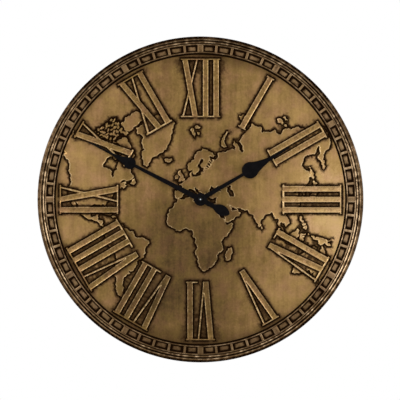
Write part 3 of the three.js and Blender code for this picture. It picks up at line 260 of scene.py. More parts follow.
# Wall pads
# Four round pads of black rubber, stuck to the rear of the flange. They keep the clock off the wall and stop
# it from sliding.

PAD_RADIUS = 0.008
PAD_THICKNESS = 0.0025
PAD_STEPS = 40
PAD_COUNT = 4
pad_rubber = speckled("pad_rubber", (0.012, 0.012, 0.012), (0.03, 0.03, 0.03), 0.85, 0.0, 150.0, bump=0.2)


def arithmetic(tree, operation, *values):
    """The result of one operation on numbers and on other nodes' outputs."""
    made = add_node(tree, "ShaderNodeMath", {"operation": operation}, dict(enumerate(values)))
    return made.outputs[0]


def ring_of_places():
    """A node tree that repeats a shape round an axis along the depth, and its sockets' identifiers."""
    tree = bpy.data.node_groups.new("ring_of_places", "GeometryNodeTree")
    sockets = {}
    kinds = {"Shape": "Geometry", "Places": "Int", "Middle": "Vector", "Finish": "Material"}
    for label, kind in kinds.items():
        socket = tree.interface.new_socket(label, in_out="INPUT", socket_type="NodeSocket" + kind)
        sockets[label] = socket.identifier
    tree.interface.new_socket("Ring", in_out="OUTPUT", socket_type="NodeSocketGeometry")
    given = add_node(tree, "NodeGroupInput").outputs
    number = add_node(tree, "GeometryNodeInputIndex").outputs["Index"]
    points = add_node(tree, "GeometryNodeMeshLine", inputs={
        "Count": given["Places"], "Start Location": given["Middle"], "Offset": (0.0, 0.0, 0.0)})
    share = arithmetic(tree, "DIVIDE", number, given["Places"])
    angle = arithmetic(tree, "MULTIPLY", share, 2 * math.pi)
    turn = add_node(tree, "ShaderNodeCombineXYZ", inputs={"Y": angle})
    copies = add_node(tree, "GeometryNodeInstanceOnPoints", inputs={
        "Points": points.outputs["Mesh"], "Instance": given["Shape"], "Rotation": turn.outputs["Vector"]})
    real = add_node(tree, "GeometryNodeRealizeInstances", inputs={"Geometry": copies.outputs["Instances"]})
    painted = add_node(tree, "GeometryNodeSetMaterial", inputs={
        "Geometry": real.outputs["Geometry"], "Material": given["Finish"]})
    add_node(tree, "NodeGroupOutput", inputs={"Ring": painted.outputs["Geometry"]})
    return tree, sockets


ring_tree, ring_sockets = ring_of_places()


def as_mesh(thing):
    """A plain mesh of what an object shows."""
    bpy.context.view_layer.update()
    return bpy.data.meshes.new_from_object(thing.evaluated_get(bpy.context.evaluated_depsgraph_get()))


def repeated(piece, places, material, middle=(0.0, 0.0, 0.0)):
    """The piece, made about the origin and repeated round the middle, as one plain mesh."""
    modifier = piece.modifiers.new("places", "NODES")
    modifier.node_group = ring_tree
    for label, value in {"Places": places, "Middle": middle, "Finish": material}.items():
        modifier[ring_sockets[label]] = value
    piece.update_tag()
    mesh = as_mesh(piece)
    piece.modifiers.clear()
    piece.data = mesh
    return piece


pad_circle = (FLANGE_RADIUS + HOOP_RADIUS) / 2
pad_middle = (pad_circle * math.sqrt(0.5), pad_circle * math.sqrt(0.5))
pad_outline = [
    (0.0, 0.0), (0.0066, 0.0), (0.0074, 0.0004), (PAD_RADIUS, 0.0011), (PAD_RADIUS, PAD_THICKNESS),
    (0.0, PAD_THICKNESS),
]
pads = closed_piece("wall_pads", *turned(pad_outline, PAD_STEPS, pad_middle), pad_rubber)
mounted(repeated(pads, PAD_COUNT, pad_rubber), "clock_body")
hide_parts("wall_pad_upper_right", "wall_pad_upper_left", "wall_pad_lower_left",
            "wall_pad_lower_right")

# Dial field
# The middle of the dial: brass sheet pressed from behind into a world map and Roman numerals, and chased
# along their edges. It is darkened with patina, which stays in the hollows, and rubbed bright on the raised
# edges. Its colour also holds painted light: highlights on those edges, shade round the relief, and broad
# patches of sheen and shade. The movement's bush passes through its middle.

FIELD_RADIUS = 0.266
FIELD_FRONT = 0.028
SHEET = 0.001
HOLE_RADIUS = 0.00525
WASHER_SEAT = 0.0155
LAND_RISE = 0.0016
LAND_BURR = 0.0004
NUMERAL_RISE = 0.003
NUMERAL_DISH = 0.0008
CHASED_DEPTH = 0.00035
CHASED_SLOPE = 0.0001
SEAT_MARGIN = 0.0005
FIELD_FADE = 0.002

# Distances from an edge of the relief, from the land or the stroke (below 0) out to the plain field.
EDGE_INNER = -0.002
EDGE_TOP = -0.0006
EDGE_FOOT = 0.0009
EDGE_OUTER = 0.0031
EDGE_FADE = 0.0058
EDGE_STEPS = [EDGE_INNER, EDGE_TOP, EDGE_FOOT, EDGE_OUTER, EDGE_FADE]

# The map's size for one radian, and where longitude 0 and latitude 0 lie on the dial. The coasts of the lands
# follow as corners of (longitude, latitude) in degrees.
MAP_SCALE = 0.1029
MAP_PLACE = (-0.0314, -0.066)

north_america = [
    (-168, 66), (-163, 67), (-166, 68.4), (-157, 71.2), (-145, 70), (-136, 69), (-128, 70.2),
    (-115, 68.2), (-102, 67.8), (-96, 68), (-94, 71.5), (-90, 69), (-82, 69.5), (-81.5, 67),
    (-86.5, 66.2), (-88, 64), (-93, 62), (-94.7, 58.8), (-92.4, 57), (-82.3, 55.2), (-82, 53),
    (-80, 51.3), (-78.8, 52.5), (-79.5, 54.7), (-76.7, 57), (-78.4, 59), (-77.5, 62.4), (-73.5, 62.2),
    (-70, 61), (-69.5, 59), (-67.3, 58.4), (-64.7, 60.2), (-61.8, 57.5), (-56, 52.6), (-60, 50.2),
    (-66.5, 50.2), (-70, 47.6), (-64.5, 49.1), (-64.8, 47), (-60.2, 46.6), (-64, 44.5), (-66, 43.6),
    (-67, 44.8), (-70.3, 43.4), (-70, 41.7), (-74, 40.5), (-75.6, 37.3), (-75.8, 35.2), (-81.2, 31.5),
    (-80.2, 26), (-81.2, 25.2), (-82.7, 28), (-84, 30), (-89.5, 29.3), (-94, 29.5), (-97.3, 27.5),
    (-97.7, 22.5), (-96, 19), (-94, 18.2), (-91, 18.6), (-90.3, 21), (-87, 21.4), (-88.5, 16),
    (-83.3, 15), (-83.7, 11), (-81.6, 9), (-79.5, 9.5), (-77, 8.2), (-78.6, 7.4), (-80.3, 7.3),
    (-83, 8.3), (-85.7, 10), (-87.6, 13), (-92, 14.5), (-95, 16), (-100, 17), (-105.5, 20),
    (-105.5, 22.5), (-109.4, 26), (-113, 31), (-114.7, 31.6), (-112.5, 28), (-109.6, 23), (-112, 25),
    (-115, 28), (-117.2, 32.7), (-120.6, 34.6), (-122.5, 37.5), (-124.3, 40.4), (-124.2, 47.5),
    (-127.5, 51), (-130.3, 54.5), (-134, 58), (-139.8, 59.7), (-146, 61), (-151.5, 59.3), (-154.5, 58.3),
    (-158.5, 56), (-164, 54.6), (-157.5, 58.7), (-162, 58.8), (-165.5, 61.5), (-161, 64.2), (-166, 64.6),
]
south_america = [
    (-77.5, 8.4), (-75.5, 10.7), (-71.8, 12.2), (-68, 11), (-62, 10.7), (-57, 6), (-51.5, 4.2),
    (-50, 0.5), (-44.5, -2.5), (-40, -2.9), (-35.2, -5.5), (-34.9, -8.2), (-39, -13), (-39, -17.5),
    (-41, -22), (-48.6, -26), (-52, -32.5), (-54.5, -34.9), (-58.3, -34), (-56.8, -36.5), (-62, -39),
    (-65, -41), (-67.5, -46), (-65.8, -47.7), (-69, -51.5), (-65.2, -54.8), (-70, -55.3), (-75, -50),
    (-73, -43), (-73.5, -37), (-71.5, -30), (-70.3, -19), (-76, -14), (-79.8, -7), (-81.2, -4.5),
    (-80, -1), (-77.5, 4), (-78, 7.2),
]
africa = [
    (-5.9, 35.8), (-2, 35.1), (3, 36.9), (10, 37.3), (11, 35), (10.3, 34), (15, 32.3), (19.5, 30.4),
    (20.8, 32.7), (25, 31.6), (29, 30.9), (33.5, 31.3), (33.5, 29.5), (35.5, 24), (37.3, 20.8),
    (38.5, 18), (43, 12.4), (44.5, 10.4), (51.2, 11.8), (48, 4.5), (41.5, -2), (39, -6), (40.6, -11),
    (40.4, -15.5), (34.9, -20), (35.4, -24), (32.8, -28), (30, -31.3), (25.7, -34), (20, -34.8),
    (18.3, -33.5), (15, -27), (11.8, -17), (13.7, -10.7), (12.2, -6), (9, -0.7), (9.6, 3.8), (4.5, 6.3),
    (-2, 4.8), (-7.6, 4.4), (-13.3, 9), (-16.7, 12.3), (-17.4, 14.7), (-16.3, 19), (-17, 21),
    (-14.5, 26.2), (-10, 29.5), (-9.7, 31.5), (-6.5, 34),
]
eurasia = [
    (-9, 37), (-9.4, 38.8), (-9.2, 43.1), (-1.8, 43.4), (-1.2, 46), (-4.7, 48.4), (-1.5, 48.7),
    (1.6, 50.9), (4.5, 52.3), (8, 53.8), (8.2, 56.8), (10.5, 57.6), (9.8, 54.6), (14.2, 53.9),
    (18.5, 54.7), (21, 55.3), (21.5, 57.4), (24.3, 57.2), (23.5, 59.2), (30, 59.9), (22, 60.2),
    (21.3, 62.5), (25.3, 65), (22.3, 65.7), (17.3, 62), (17, 60.6), (18.8, 59.8), (16.5, 57),
    (14.3, 55.5), (12.8, 55.5), (11.2, 59), (7, 58), (5.2, 60), (5, 62), (10, 64), (14.5, 67.8),
    (19, 69.8), (25.7, 71.1), (33, 69.4), (41, 67.2), (38, 66.1), (33, 66.8), (35, 64.2), (40, 64.6),
    (44, 66.1), (44.2, 68.3), (54, 68.3), (60.5, 69.2), (67, 68.8), (67, 71.5), (70, 73.2), (73, 71.5),
    (72.5, 68.5), (74, 67), (77.5, 68), (76, 72.4), (81, 73.7), (87, 75), (97, 76.2), (104.3, 77.7),
    (113.5, 75.6), (110, 73.6), (127, 73.3), (129.5, 71), (140, 72.5), (150, 71.6), (160, 69.7),
    (170, 70), (180, 68.9), (180, 65), (178, 62.5), (170, 60), (163, 58), (156.7, 51), (155.7, 56.5),
    (164, 62.4), (155, 59.3), (143, 59.3), (135.2, 54.8), (140.5, 51), (138, 46.5), (132, 43.2),
    (127.5, 39.7), (129.4, 36), (126.4, 34.5), (126.7, 37.5), (124.8, 39.8), (121.5, 39), (122, 40.6),
    (118, 39), (119, 37.3), (122.5, 37.2), (119.3, 35), (121.9, 31.5), (121.7, 28.5), (118, 24.4),
    (114, 22.4), (108.3, 21.6), (105.8, 19), (108.8, 15.3), (109.3, 12), (105, 8.7), (100.6, 13.5),
    (99.3, 10), (103.4, 4.2), (104.2, 1.4), (101.3, 2.9), (98.3, 8), (97.6, 16.5), (94.3, 16),
    (91.5, 22.6), (86.8, 20.6), (82.3, 16.7), (80.2, 15.5), (79.9, 10.3), (77.5, 8.1), (74.8, 13),
    (72.7, 20), (70, 20.9), (66.7, 25), (57, 26.8), (54, 26.6), (48, 30.2), (50.2, 26.5), (51.5, 24.4),
    (56.3, 26), (59.8, 22.5), (57.7, 19), (52, 15.6), (45, 12.8), (42.7, 16), (39, 21.5), (35, 28),
    (32.5, 30.5), (34.5, 31.6), (36, 36.8), (32.5, 36), (28, 36.7), (26.3, 38.5), (26, 40.7),
    (23.7, 40.4), (24, 38), (22.8, 36.6), (21.2, 37.8), (19.5, 41), (13.7, 45.6), (12.3, 45.3),
    (12.5, 44), (18.4, 40), (17, 40.5), (17, 39), (15.8, 38), (15.5, 40), (10.3, 43.5), (8.7, 44.3),
    (5, 43.4), (3.1, 42.4), (0, 39.7), (-0.5, 38), (-2.2, 36.8), (-5.6, 36),
]
greenland = [
    (-73, 78.2), (-66, 80.5), (-35, 83.5), (-14, 81.5), (-19, 77), (-20.5, 73.5), (-23, 70.5), (-32, 68),
    (-40, 65), (-43.5, 60), (-48.5, 61.2), (-52, 65), (-53.5, 68), (-51, 69.6), (-55, 71.5), (-58, 75.3),
    (-67, 76),
]
australia = [
    (113.7, -22.5), (115.7, -32), (115, -34.2), (118, -35), (123.5, -34), (131.2, -31.5), (135, -34.7),
    (138, -33), (140.5, -38), (146.3, -39), (150, -37.4), (153.5, -28.5), (150.8, -23.5), (146.3, -19),
    (145.3, -15), (142.5, -10.7), (140.8, -17.5), (135.5, -15), (136.8, -12.2), (132.5, -11.3),
    (128.2, -15), (122.2, -18),
]
islands = [
    [(-89, 71), (-85, 73.6), (-79, 73.6), (-72, 71.3), (-61.8, 66.6), (-66, 62), (-78, 64.6),
     (-73, 68.3)],
    [(-88, 76.6), (-94.5, 78), (-97, 80.4), (-91, 82), (-75, 83), (-62, 82.4), (-72, 79.5), (-80, 76.3)],
    [(-93, 76.2), (-88, 76), (-80, 75.6), (-81, 74.7), (-90, 75)],
    [(-87, 64), (-84, 66), (-80.3, 64), (-83, 62.3)],
    [(-74.3, 18.4), (-72.5, 19.8), (-68.5, 18.6), (-71.5, 17.8)],
    [(-59.3, 47.8), (-55.6, 51.6), (-53, 48.5), (-54.5, 46.8)],
    [(-84.8, 21.9), (-82.5, 23.2), (-74.3, 20.3), (-77.5, 19.9)],
    [(-24, 65.5), (-14.6, 66.4), (-13.7, 65), (-18.7, 63.4), (-22.7, 63.9)],
    [(10.5, 79.3), (13, 80), (17, 79.8), (16.5, 78.6), (18.5, 77.6), (16.8, 76.4), (14, 77.7)],
    [(19.5, 80.5), (24, 80.7), (28, 80.1), (24, 79.5), (20.5, 79.6)],
    [(21.5, 78.4), (25, 78.3), (24, 77.2), (22, 77.3)],
    [(-5.4, 50.1), (-5, 52), (-3, 53.8), (-6, 57.5), (-3.1, 58.6), (0.3, 53), (1.6, 52.5), (1.2, 51.2)],
    [(-10, 51.8), (-9.8, 54), (-7.3, 55.3), (-5.6, 54.5), (-6.3, 52.2)],
    [(51.5, 71.4), (52.5, 72.8), (55, 74.4), (59, 76), (65, 77.2), (69, 77), (63, 75.9), (58.8, 74.2),
     (57, 72.6), (58, 70.8), (54, 70.6)],
    [(96, 79), (95, 81), (104, 79.2), (101, 78)],
    [(136.5, 75.2), (139, 76.2), (143.6, 76), (144, 75), (141, 74)],
    [(147, 75.9), (151, 75.8), (149.5, 74.6), (147, 74.9)],
    [(141, 73.5), (144, 73.8), (143.5, 72.9)],
    [(142, 46.2), (142, 53.5), (143.5, 53.5), (144, 49)],
    [(140, 42), (141.7, 45.4), (145.3, 43.4), (143.2, 42)],
    [(130, 31.3), (130, 33.5), (137, 37), (141, 41.4), (142, 39.5), (140.8, 35.7), (136, 33.6)],
    [(119.8, 16), (120.5, 18.7), (122.4, 18.5), (121.8, 15.5), (124.2, 12.5), (120.6, 13.8)],
    [(121.8, 7.2), (123.8, 8.8), (126.2, 9.8), (126.6, 6.8), (125.4, 5.4), (123.4, 6.8)],
    [(109, 1.5), (113.5, 3.3), (117, 7), (119, 5.2), (116.3, -3.8), (110.2, -2.9)],
    [(95.3, 5.5), (97.5, 5.2), (106, -3), (105.8, -5.8), (102.3, -4)],
    [(105.3, -6.5), (114.4, -7.6), (114.4, -8.8), (108.5, -8)],
    [(119.2, -5.6), (118.6, -2.8), (119.8, 1.4), (125.2, 1.9), (125, 0.5), (121.2, 0), (121.4, -1),
     (124, -0.8), (123.6, -1.9), (121.6, -2.4), (123.4, -4.9), (121.8, -5.4), (120.7, -3.4),
     (120.7, -5.7)],
    [(131, -0.8), (134, -0.6), (134.8, -3.3), (138, -1.5), (141.5, -2.5), (145, -4), (147.8, -5.8),
     (147.2, -7.2), (151, -10.6), (147, -9.8), (145, -7.8), (143, -9.2), (138, -8.5), (138.3, -5.6),
     (133.5, -4.2), (132.5, -2.4)],
    [(144.7, -41), (148.3, -41), (147, -43.6)],
    [(49.3, -12.1), (50.4, -15.7), (47, -25), (44, -25), (44.4, -16.2)],
    [(79.8, 8), (80.2, 9.7), (81.8, 7.2), (80.5, 6)],
    [(120.2, 23), (121.6, 25.2), (121, 22)],
    [(12.5, 38), (15.6, 38.2), (15.1, 36.7)],
    [(8.2, 39), (8.3, 40.9), (9.7, 41), (9.5, 39.2)],
    [(127.5, 0), (128, 2.2), (129, 0.5)],
    [(123.5, -10.3), (127, -8.4), (124.5, -9.2)],
    [(148.5, -5.7), (152.2, -4.2), (150, -6.4)],
    [(121.8, 11), (123.2, 11.8), (125.7, 12.2), (125, 9.8), (122.8, 9.2)],
    [(98, 80.6), (101, 81), (105, 79.8), (101, 79.6)],
]

# The small islands of the Canadian north are slivers in rows. Each row is shifted by half a place, and the
# rows get shorter to the north.
SLIVER_PLACE = (-124.0, 70.8)
SLIVER_PITCH = (4.5, 1.45)
SLIVER_SIZE = (2.35, 0.78)
SLIVER_SHARE = 0.62
SLIVER_CORNERS = 6
sliver_chance = random.Random(11)
for row in range(6):
    for column in range(8 - (row + 1) // 2):
        east = SLIVER_PLACE[0] + SLIVER_PITCH[0] * (column + row / 2) + sliver_chance.uniform(-1.0, 1.0)
        north = SLIVER_PLACE[1] + SLIVER_PITCH[1] * row + sliver_chance.uniform(-0.3, 0.3)
        turn = sliver_chance.uniform(0.0, math.pi)
        sliver = []
        for corner in range(SLIVER_CORNERS):
            angle = 2 * math.pi * corner / SLIVER_CORNERS
            along = math.cos(angle) * sliver_chance.uniform(0.6, 1.3)
            aside = SLIVER_SHARE * math.sin(angle) * sliver_chance.uniform(0.6, 1.3)
            sliver.append((east + SLIVER_SIZE[0] * (along * math.cos(turn) - aside * math.sin(turn)),
                           north + SLIVER_SIZE[1] * (along * math.sin(turn) + aside * math.cos(turn))))
        islands.append(sliver)

# Two inland seas are cut out of the land, and a chain of long lakes leads north-east from the Baltic.
seas = [
    [(28, 41.6), (28.6, 43.7), (30.7, 46.4), (33.5, 44.6), (36.5, 45.2), (38.2, 46.6), (38.2, 44.6),
     (41.6, 42), (36, 41.4), (31.3, 41.3)],
    [(47.5, 45.5), (51, 47), (53, 46), (51, 44.5), (53.7, 42), (53.8, 37), (50, 37.3), (49, 40.5),
     (47.8, 43)],
]
LAKE_SHAPE = ((-1.9, 0.45), (-0.7, 1.1), (1.9, -0.45), (0.7, -1.1))
for step in range(4):
    lake_place = (29.2 + 1.8 * step, 60.6 + 1.3 * step)
    seas.append([(lake_place[0] + east, lake_place[1] + north) for east, north in LAKE_SHAPE])

COAST_STEP = 0.0036
COAST_BEND = 0.25
LONG_COAST = 0.014
LONG_COAST_BEND = 0.12
INLAND_SEED = 90


def on_dial(longitude, latitude):
    """The map's projection, which draws the whole world in a circle: degrees to (x, z) on the dial."""
    east = math.radians(longitude) or 1e-6
    tilt = math.asin(abs(latitude) / 90) or 1e-6
    meridian = 0.5 * abs(math.pi / east - east / math.pi)
    parallel = math.cos(tilt) / (math.sin(tilt) + math.cos(tilt) - 1)
    pole = parallel * (2 / math.sin(tilt) - 1)
    mixed = meridian * meridian + parallel
    total = pole * pole + meridian * meridian
    lean = parallel - pole * pole
    root = meridian * meridian * lean ** 2 - total * (parallel * parallel - pole * pole)
    across = meridian * lean + math.sqrt(max(0.0, root))
    root = (meridian * meridian + 1) * total - mixed * mixed
    along = abs(pole * mixed - meridian * math.sqrt(max(0.0, root)))
    x = math.copysign(math.pi * across / total, east)
    z = math.copysign(math.pi * along / total, latitude)
    return Vector((MAP_PLACE[0] + MAP_SCALE * x, MAP_PLACE[1] + MAP_SCALE * z))


def crinkled(start, end, chance):
    """Points from a start up to an end, bent this way and that as a coast is."""
    along = end - start
    if along.length < COAST_STEP:
        return [start]
    reach = COAST_BEND if along.length < LONG_COAST else LONG_COAST_BEND
    middle = (start + end) / 2 + Vector((-along.y, along.x)) * chance.uniform(-reach, reach)
    return crinkled(start, middle, chance) + crinkled(middle, end, chance)


def anticlockwise(points):
    """A loop of points, turned round if it runs clockwise."""
    x, z = points[:, 0], points[:, 1]
    area = np.sum(x * np.roll(z, -1) - np.roll(x, -1) * z)
    return points if area > 0 else points[::-1].copy()


def coast_line(corners, seed):
    """The coast of one land as an anticlockwise loop of points on the dial."""
    chance = random.Random(seed)
    line = [on_dial(*corner) for corner in corners]
    points = []
    for start, end in zip(line, line[1:] + line[:1]):
        points.extend(crinkled(start, end, chance))
    return anticlockwise(np.array(points))


lands = [north_america, south_america, africa, eurasia, greenland, australia, *islands]
land_loops = [coast_line(corners, seed) for seed, corners in enumerate(lands)]
sea_loops = [coast_line(corners, INLAND_SEED + seed)[::-1].copy() for seed, corners in enumerate(seas)]

# The numerals have their feet towards the dial's middle. Their strokes are four-cornered outlines: x across
# the numeral, and the second number along the radius.
NUMERALS = ("XII", "I", "II", "III", "IV", "V", "VI", "VII", "VIII", "IX", "X", "XI")
NUMERAL_TOP = 0.259
NUMERAL_FOOT = 0.1512
THICK = 0.0102
THIN = 0.003
SERIF = 0.0026
OVERHANG = 0.0026
CROSS_WIDTH = 0.0295
APEX_WIDTH = 0.0083
STROKE_GAP = 0.0193 - THICK
CROSS_GAP = 0.0286 - (CROSS_WIDTH + THICK) / 2
STROKE_STEP = 0.0032


def stroke(foot, top, width):
    """A stroke from its place at the numeral's foot to its place at the top."""
    half = width / 2
    return [(foot - half, NUMERAL_FOOT), (foot + half, NUMERAL_FOOT),
            (top + half, NUMERAL_TOP), (top - half, NUMERAL_TOP)]


def letter_strokes(letter, x):
    """The strokes of an I, an X or a V about its middle."""
    thick = (CROSS_WIDTH - THICK) / 2
    thin = (CROSS_WIDTH - THIN) / 2
    if letter == "I":
        return [stroke(x, x, THICK)]
    if letter == "X":
        return [stroke(x + thick, x - thick, THICK), stroke(x - thin, x + thin, THIN)]
    return [stroke(x, x - thick, THICK), stroke(x + (APEX_WIDTH - THIN) / 2, x + thin, THIN)]


def serif(left, right, foot):
    """A thin bar that joins the strokes at the numeral's foot or top."""
    return [(left, foot), (right, foot), (right, foot + SERIF), (left, foot + SERIF)]


def numeral_outlines(letters):
    """The strokes and serifs of one numeral at 12 o'clock."""
    widths = [THICK if letter == "I" else CROSS_WIDTH for letter in letters]
    gaps = [0.0]
    for pair in zip(letters, letters[1:]):
        gaps.append(STROKE_GAP if pair == ("I", "I") else CROSS_GAP)
    width = sum(widths) + sum(gaps)
    left = -width / 2
    outlines = []
    for letter, wide, gap in zip(letters, widths, gaps):
        left += gap
        outlines += letter_strokes(letter, left + wide / 2)
        left += wide
    half = width / 2 + OVERHANG
    outlines.append(serif(-half, half, NUMERAL_TOP - SERIF))
    foot_left = CROSS_WIDTH - width / 2 if letters[0] == "V" else -half
    foot_right = width / 2 - CROSS_WIDTH if letters[-1] == "V" else half
    if foot_right > foot_left:
        outlines.append(serif(foot_left, foot_right, NUMERAL_FOOT))
    return outlines


def numeral_loops(letters, hour):
    """The outlines of one numeral, turned to its hour, each as closely spaced points."""
    angle = math.radians(30 * hour)
    turn = np.array([[math.cos(angle), -math.sin(angle)], [math.sin(angle), math.cos(angle)]])
    loops = []
    for outline in numeral_outlines(letters):
        points = []
        for start, end in zip(outline, outline[1:] + outline[:1]):
            steps = max(1, round(math.dist(start, end) / STROKE_STEP))
            along = np.array(end) - np.array(start)
            points.extend(np.array(start) + along * i / steps for i in range(steps))
        loops.append(anticlockwise(np.array(points) @ turn))
    return loops


POINTS_AT_ONCE = 3000


def inside(points, corners):
    """Which points lie inside a loop of corners."""
    ax, az = corners[:, 0], corners[:, 1]
    bx, bz = np.roll(ax, -1), np.roll(az, -1)
    slope = (bx - ax) / np.where(bz == az, 1e-12, bz - az)
    found = []
    for part in np.array_split(points, len(points) // POINTS_AT_ONCE + 1):
        x, z = part[:, :1], part[:, 1:]
        spans = (az > z) != (bz > z)
        found.append(np.count_nonzero(spans & (x < ax + (z - az) * slope), axis=1) % 2 == 1)
    return np.concatenate(found)


def within(points, loops):
    """Which points lie inside any of the loops."""
    found = np.zeros(len(points), bool)
    for loop in loops:
        found |= inside(points, loop)
    return found


def distance(points, edges, reach=0.02):
    """The distance from each point to the nearest of the edges, each (start x, start z, end x, end z).

    Points are taken square by square with the edges near that square, and no distance over the reach is
    told apart.
    """
    starts, along = edges[:, :2], edges[:, 2:] - edges[:, :2]
    length = np.maximum((along ** 2).sum(1), 1e-14)
    found = np.full(len(points), reach)
    squares = np.floor(points / reach).astype(int)
    for square in np.unique(squares, axis=0):
        here = np.nonzero((squares == square).all(1))[0]
        middle = (square + 0.5) * reach
        near = (np.abs(starts - middle) < 1.8 * reach).all(1)
        if near.any():
            offset = points[here][:, None, :] - starts[near]
            share = np.clip((offset * along[near]).sum(2) / length[near], 0, 1)
            gap = np.sqrt(((offset - share[..., None] * along[near]) ** 2).sum(2).min(1))
            found[here] = np.minimum(gap, reach)
    return found


def edge_rings(loop, kept, start):
    """Points beside a loop at the four distances of a chased edge, and the lines along its kept edges."""
    ahead = np.roll(loop, -1, axis=0) - loop
    direction = ahead / np.maximum(np.linalg.norm(ahead, axis=1, keepdims=True), 1e-12)
    outward = np.stack([direction[:, 1], -direction[:, 0]], axis=1)
    corner = outward + np.roll(outward, 1, axis=0)
    corner /= np.maximum(np.linalg.norm(corner, axis=1, keepdims=True), 0.6)
    points, lines = [], []
    for offset in (EDGE_INNER, EDGE_TOP, EDGE_FOOT, EDGE_OUTER):
        first = start + len(points)
        points.extend(loop + corner * offset)
        for i in np.nonzero(kept)[0]:
            lines.append((first + i, first + (i + 1) % len(loop)))
    return points, lines


edge_points, edge_lines = [], []


def relief_edges(loops, others):
    """The edges of loops that lie outside all others. Their rings join the relief's points and lines."""
    edges = []
    for loop in loops:
        middles = (loop + np.roll(loop, -1, axis=0)) / 2
        kept = ~within(middles, [other for other in others if other is not loop])
        edges.append(np.hstack([loop, np.roll(loop, -1, axis=0)])[kept])
        ring_points, ring_lines = edge_rings(loop, kept, len(edge_points))
        edge_points.extend(ring_points)
        edge_lines.extend(ring_lines)
    return edges


coast_edges = relief_edges(land_loops, land_loops) + relief_edges(sea_loops, [])
stroke_edges = []
stroke_loops = []
for hour, letters in enumerate(NUMERALS):
    loops = numeral_loops(letters, hour)
    stroke_loops += loops
    stroke_edges += relief_edges(loops, loops)

NET_PITCH = 0.0075
NET_ROW = 0.866
NET_GAP = 0.004
EDGE_GAP = 0.0006
FIELD_STEPS = 360
HOLE_STEPS = 36
HOLE_SIDE = 0.996
SEAT_STEPS = 48


def net():
    """Points in rows of triangles that fill the plain parts of the field."""
    steps = int(FIELD_RADIUS / NET_PITCH)
    points = []
    for i in range(-steps, steps + 1):
        for j in range(-steps, steps + 1):
            spot = Vector((NET_PITCH * (i + 0.5 * (j % 2)), NET_PITCH * j * NET_ROW))
            if WASHER_SEAT + NET_GAP < spot.length < FIELD_RADIUS - NET_GAP:
                points.append(spot)
    return points


def flat_sheet():
    """The points and triangles of the sheet before it is pressed, with sides along the relief's edges."""
    sheen_and_shade = np.array(edge_points)
    away = np.hypot(sheen_and_shade[:, 0], sheen_and_shade[:, 1])
    usable = (away < FIELD_RADIUS - EDGE_GAP) & (away > HOLE_RADIUS + EDGE_GAP)
    index = np.cumsum(usable) - 1
    lines = [(int(index[a]), int(index[b])) for a, b in edge_lines if usable[a] and usable[b]]
    points = [Vector(spot) for spot in sheen_and_shade[usable]]
    rings = ((FIELD_RADIUS, FIELD_STEPS), (HOLE_RADIUS, HOLE_STEPS), (WASHER_SEAT, SEAT_STEPS))
    for ring_radius, count in rings:
        first = len(points)
        for i in range(count):
            angle = 2 * math.pi * i / count
            points.append(Vector((ring_radius * math.cos(angle), ring_radius * math.sin(angle))))
            lines.append((first + i, first + (i + 1) % count))
    corners, _, corner_triples, _, _, _ = delaunay_2d_cdt(points + net(), lines, [], 0, 1e-6)
    corners = np.array([(corner.x, corner.y) for corner in corners])
    corner_triples = np.array(corner_triples)
    middles = corners[corner_triples].mean(axis=1)
    on_sheet = np.hypot(middles[:, 0], middles[:, 1]) > HOLE_RADIUS * HOLE_SIDE
    return corners, corner_triples[on_sheet]


flat, triangles = flat_sheet()
flat_x = flat[:, 0]
flat_radius = np.hypot(flat_x, flat[:, 1])
on_land = within(flat, land_loops) & ~within(flat, sea_loops)
from_coast = np.where(on_land, -1, 1) * distance(flat, np.concatenate(coast_edges))
from_stroke = np.where(within(flat, stroke_loops), -1, 1) * distance(flat, np.concatenate(stroke_edges))
climb = np.clip((EDGE_FOOT - from_stroke) / (EDGE_FOOT - EDGE_TOP), 0, 1)


def pressed_height():
    """How far each point of the sheet is pressed forward."""
    land_steps = [LAND_RISE, LAND_RISE + LAND_BURR, -CHASED_DEPTH, -CHASED_SLOPE, 0]
    ground = np.interp(from_coast, EDGE_STEPS, land_steps)
    ground = ground + np.interp(from_stroke, [EDGE_FOOT, EDGE_OUTER], [-CHASED_DEPTH, 0])
    top = np.interp(from_stroke, [EDGE_INNER, EDGE_TOP], [NUMERAL_RISE - NUMERAL_DISH, NUMERAL_RISE])
    height = ground * (1 - climb) + top * climb
    height[flat_radius < WASHER_SEAT + SEAT_MARGIN] = 0
    return height * np.clip((FIELD_RADIUS - flat_radius) / FIELD_FADE, 0, 1)


def two_sides(height):
    """The vertices and faces of the sheet's front, its rear and the edges between them."""
    count = len(flat)
    front = np.column_stack([flat_x, -(FIELD_FRONT + height), flat[:, 1]])
    vertices = np.concatenate([front, front + np.array([0, SHEET, 0])])
    faces = [tuple(triangle) for triangle in triangles]
    faces += [(c + count, b + count, a + count) for a, b, c in triangles]
    sides = [side for a, b, c in triangles for side in ((a, b), (b, c), (c, a))]
    known = set(sides)
    for a, b in sides:
        if (b, a) not in known:
            faces.append((b, a, a + count, b + count))
    return vertices, faces


# Patina is below 0 where dark crust stays, and above 0 where an edge is rubbed bright and carries a painted
# highlight. The halo is painted shade round the relief, from 0 to 1.
SLIVERS_ON_DIAL = (-0.163, 0.126)
SLIVERS_REACH = 0.034
STROKE_HALO = 0.006
COAST_HALO = 0.005
RIM_HALO = 0.0055
REAR_PATINA = -0.4


def coast_patina_and_highlight():
    """Rubbed bright land edges, with a painted highlight at the far left; dark chased lines; dull slivers."""
    patina_and_highlight = np.interp(from_coast, EDGE_STEPS, [0, 0.9, -1, -0.6, 0])
    away = np.hypot(flat_x - SLIVERS_ON_DIAL[0], flat[:, 1] - SLIVERS_ON_DIAL[1])
    among_slivers = np.exp(-(away / SLIVERS_REACH) ** 4)
    highlight_gain = np.interp(flat_x, [-0.25, -0.21], [2.2, 1.0]) - 0.4 * among_slivers
    return np.where(patina_and_highlight > 0, patina_and_highlight * highlight_gain, patina_and_highlight) - 0.16 * among_slivers


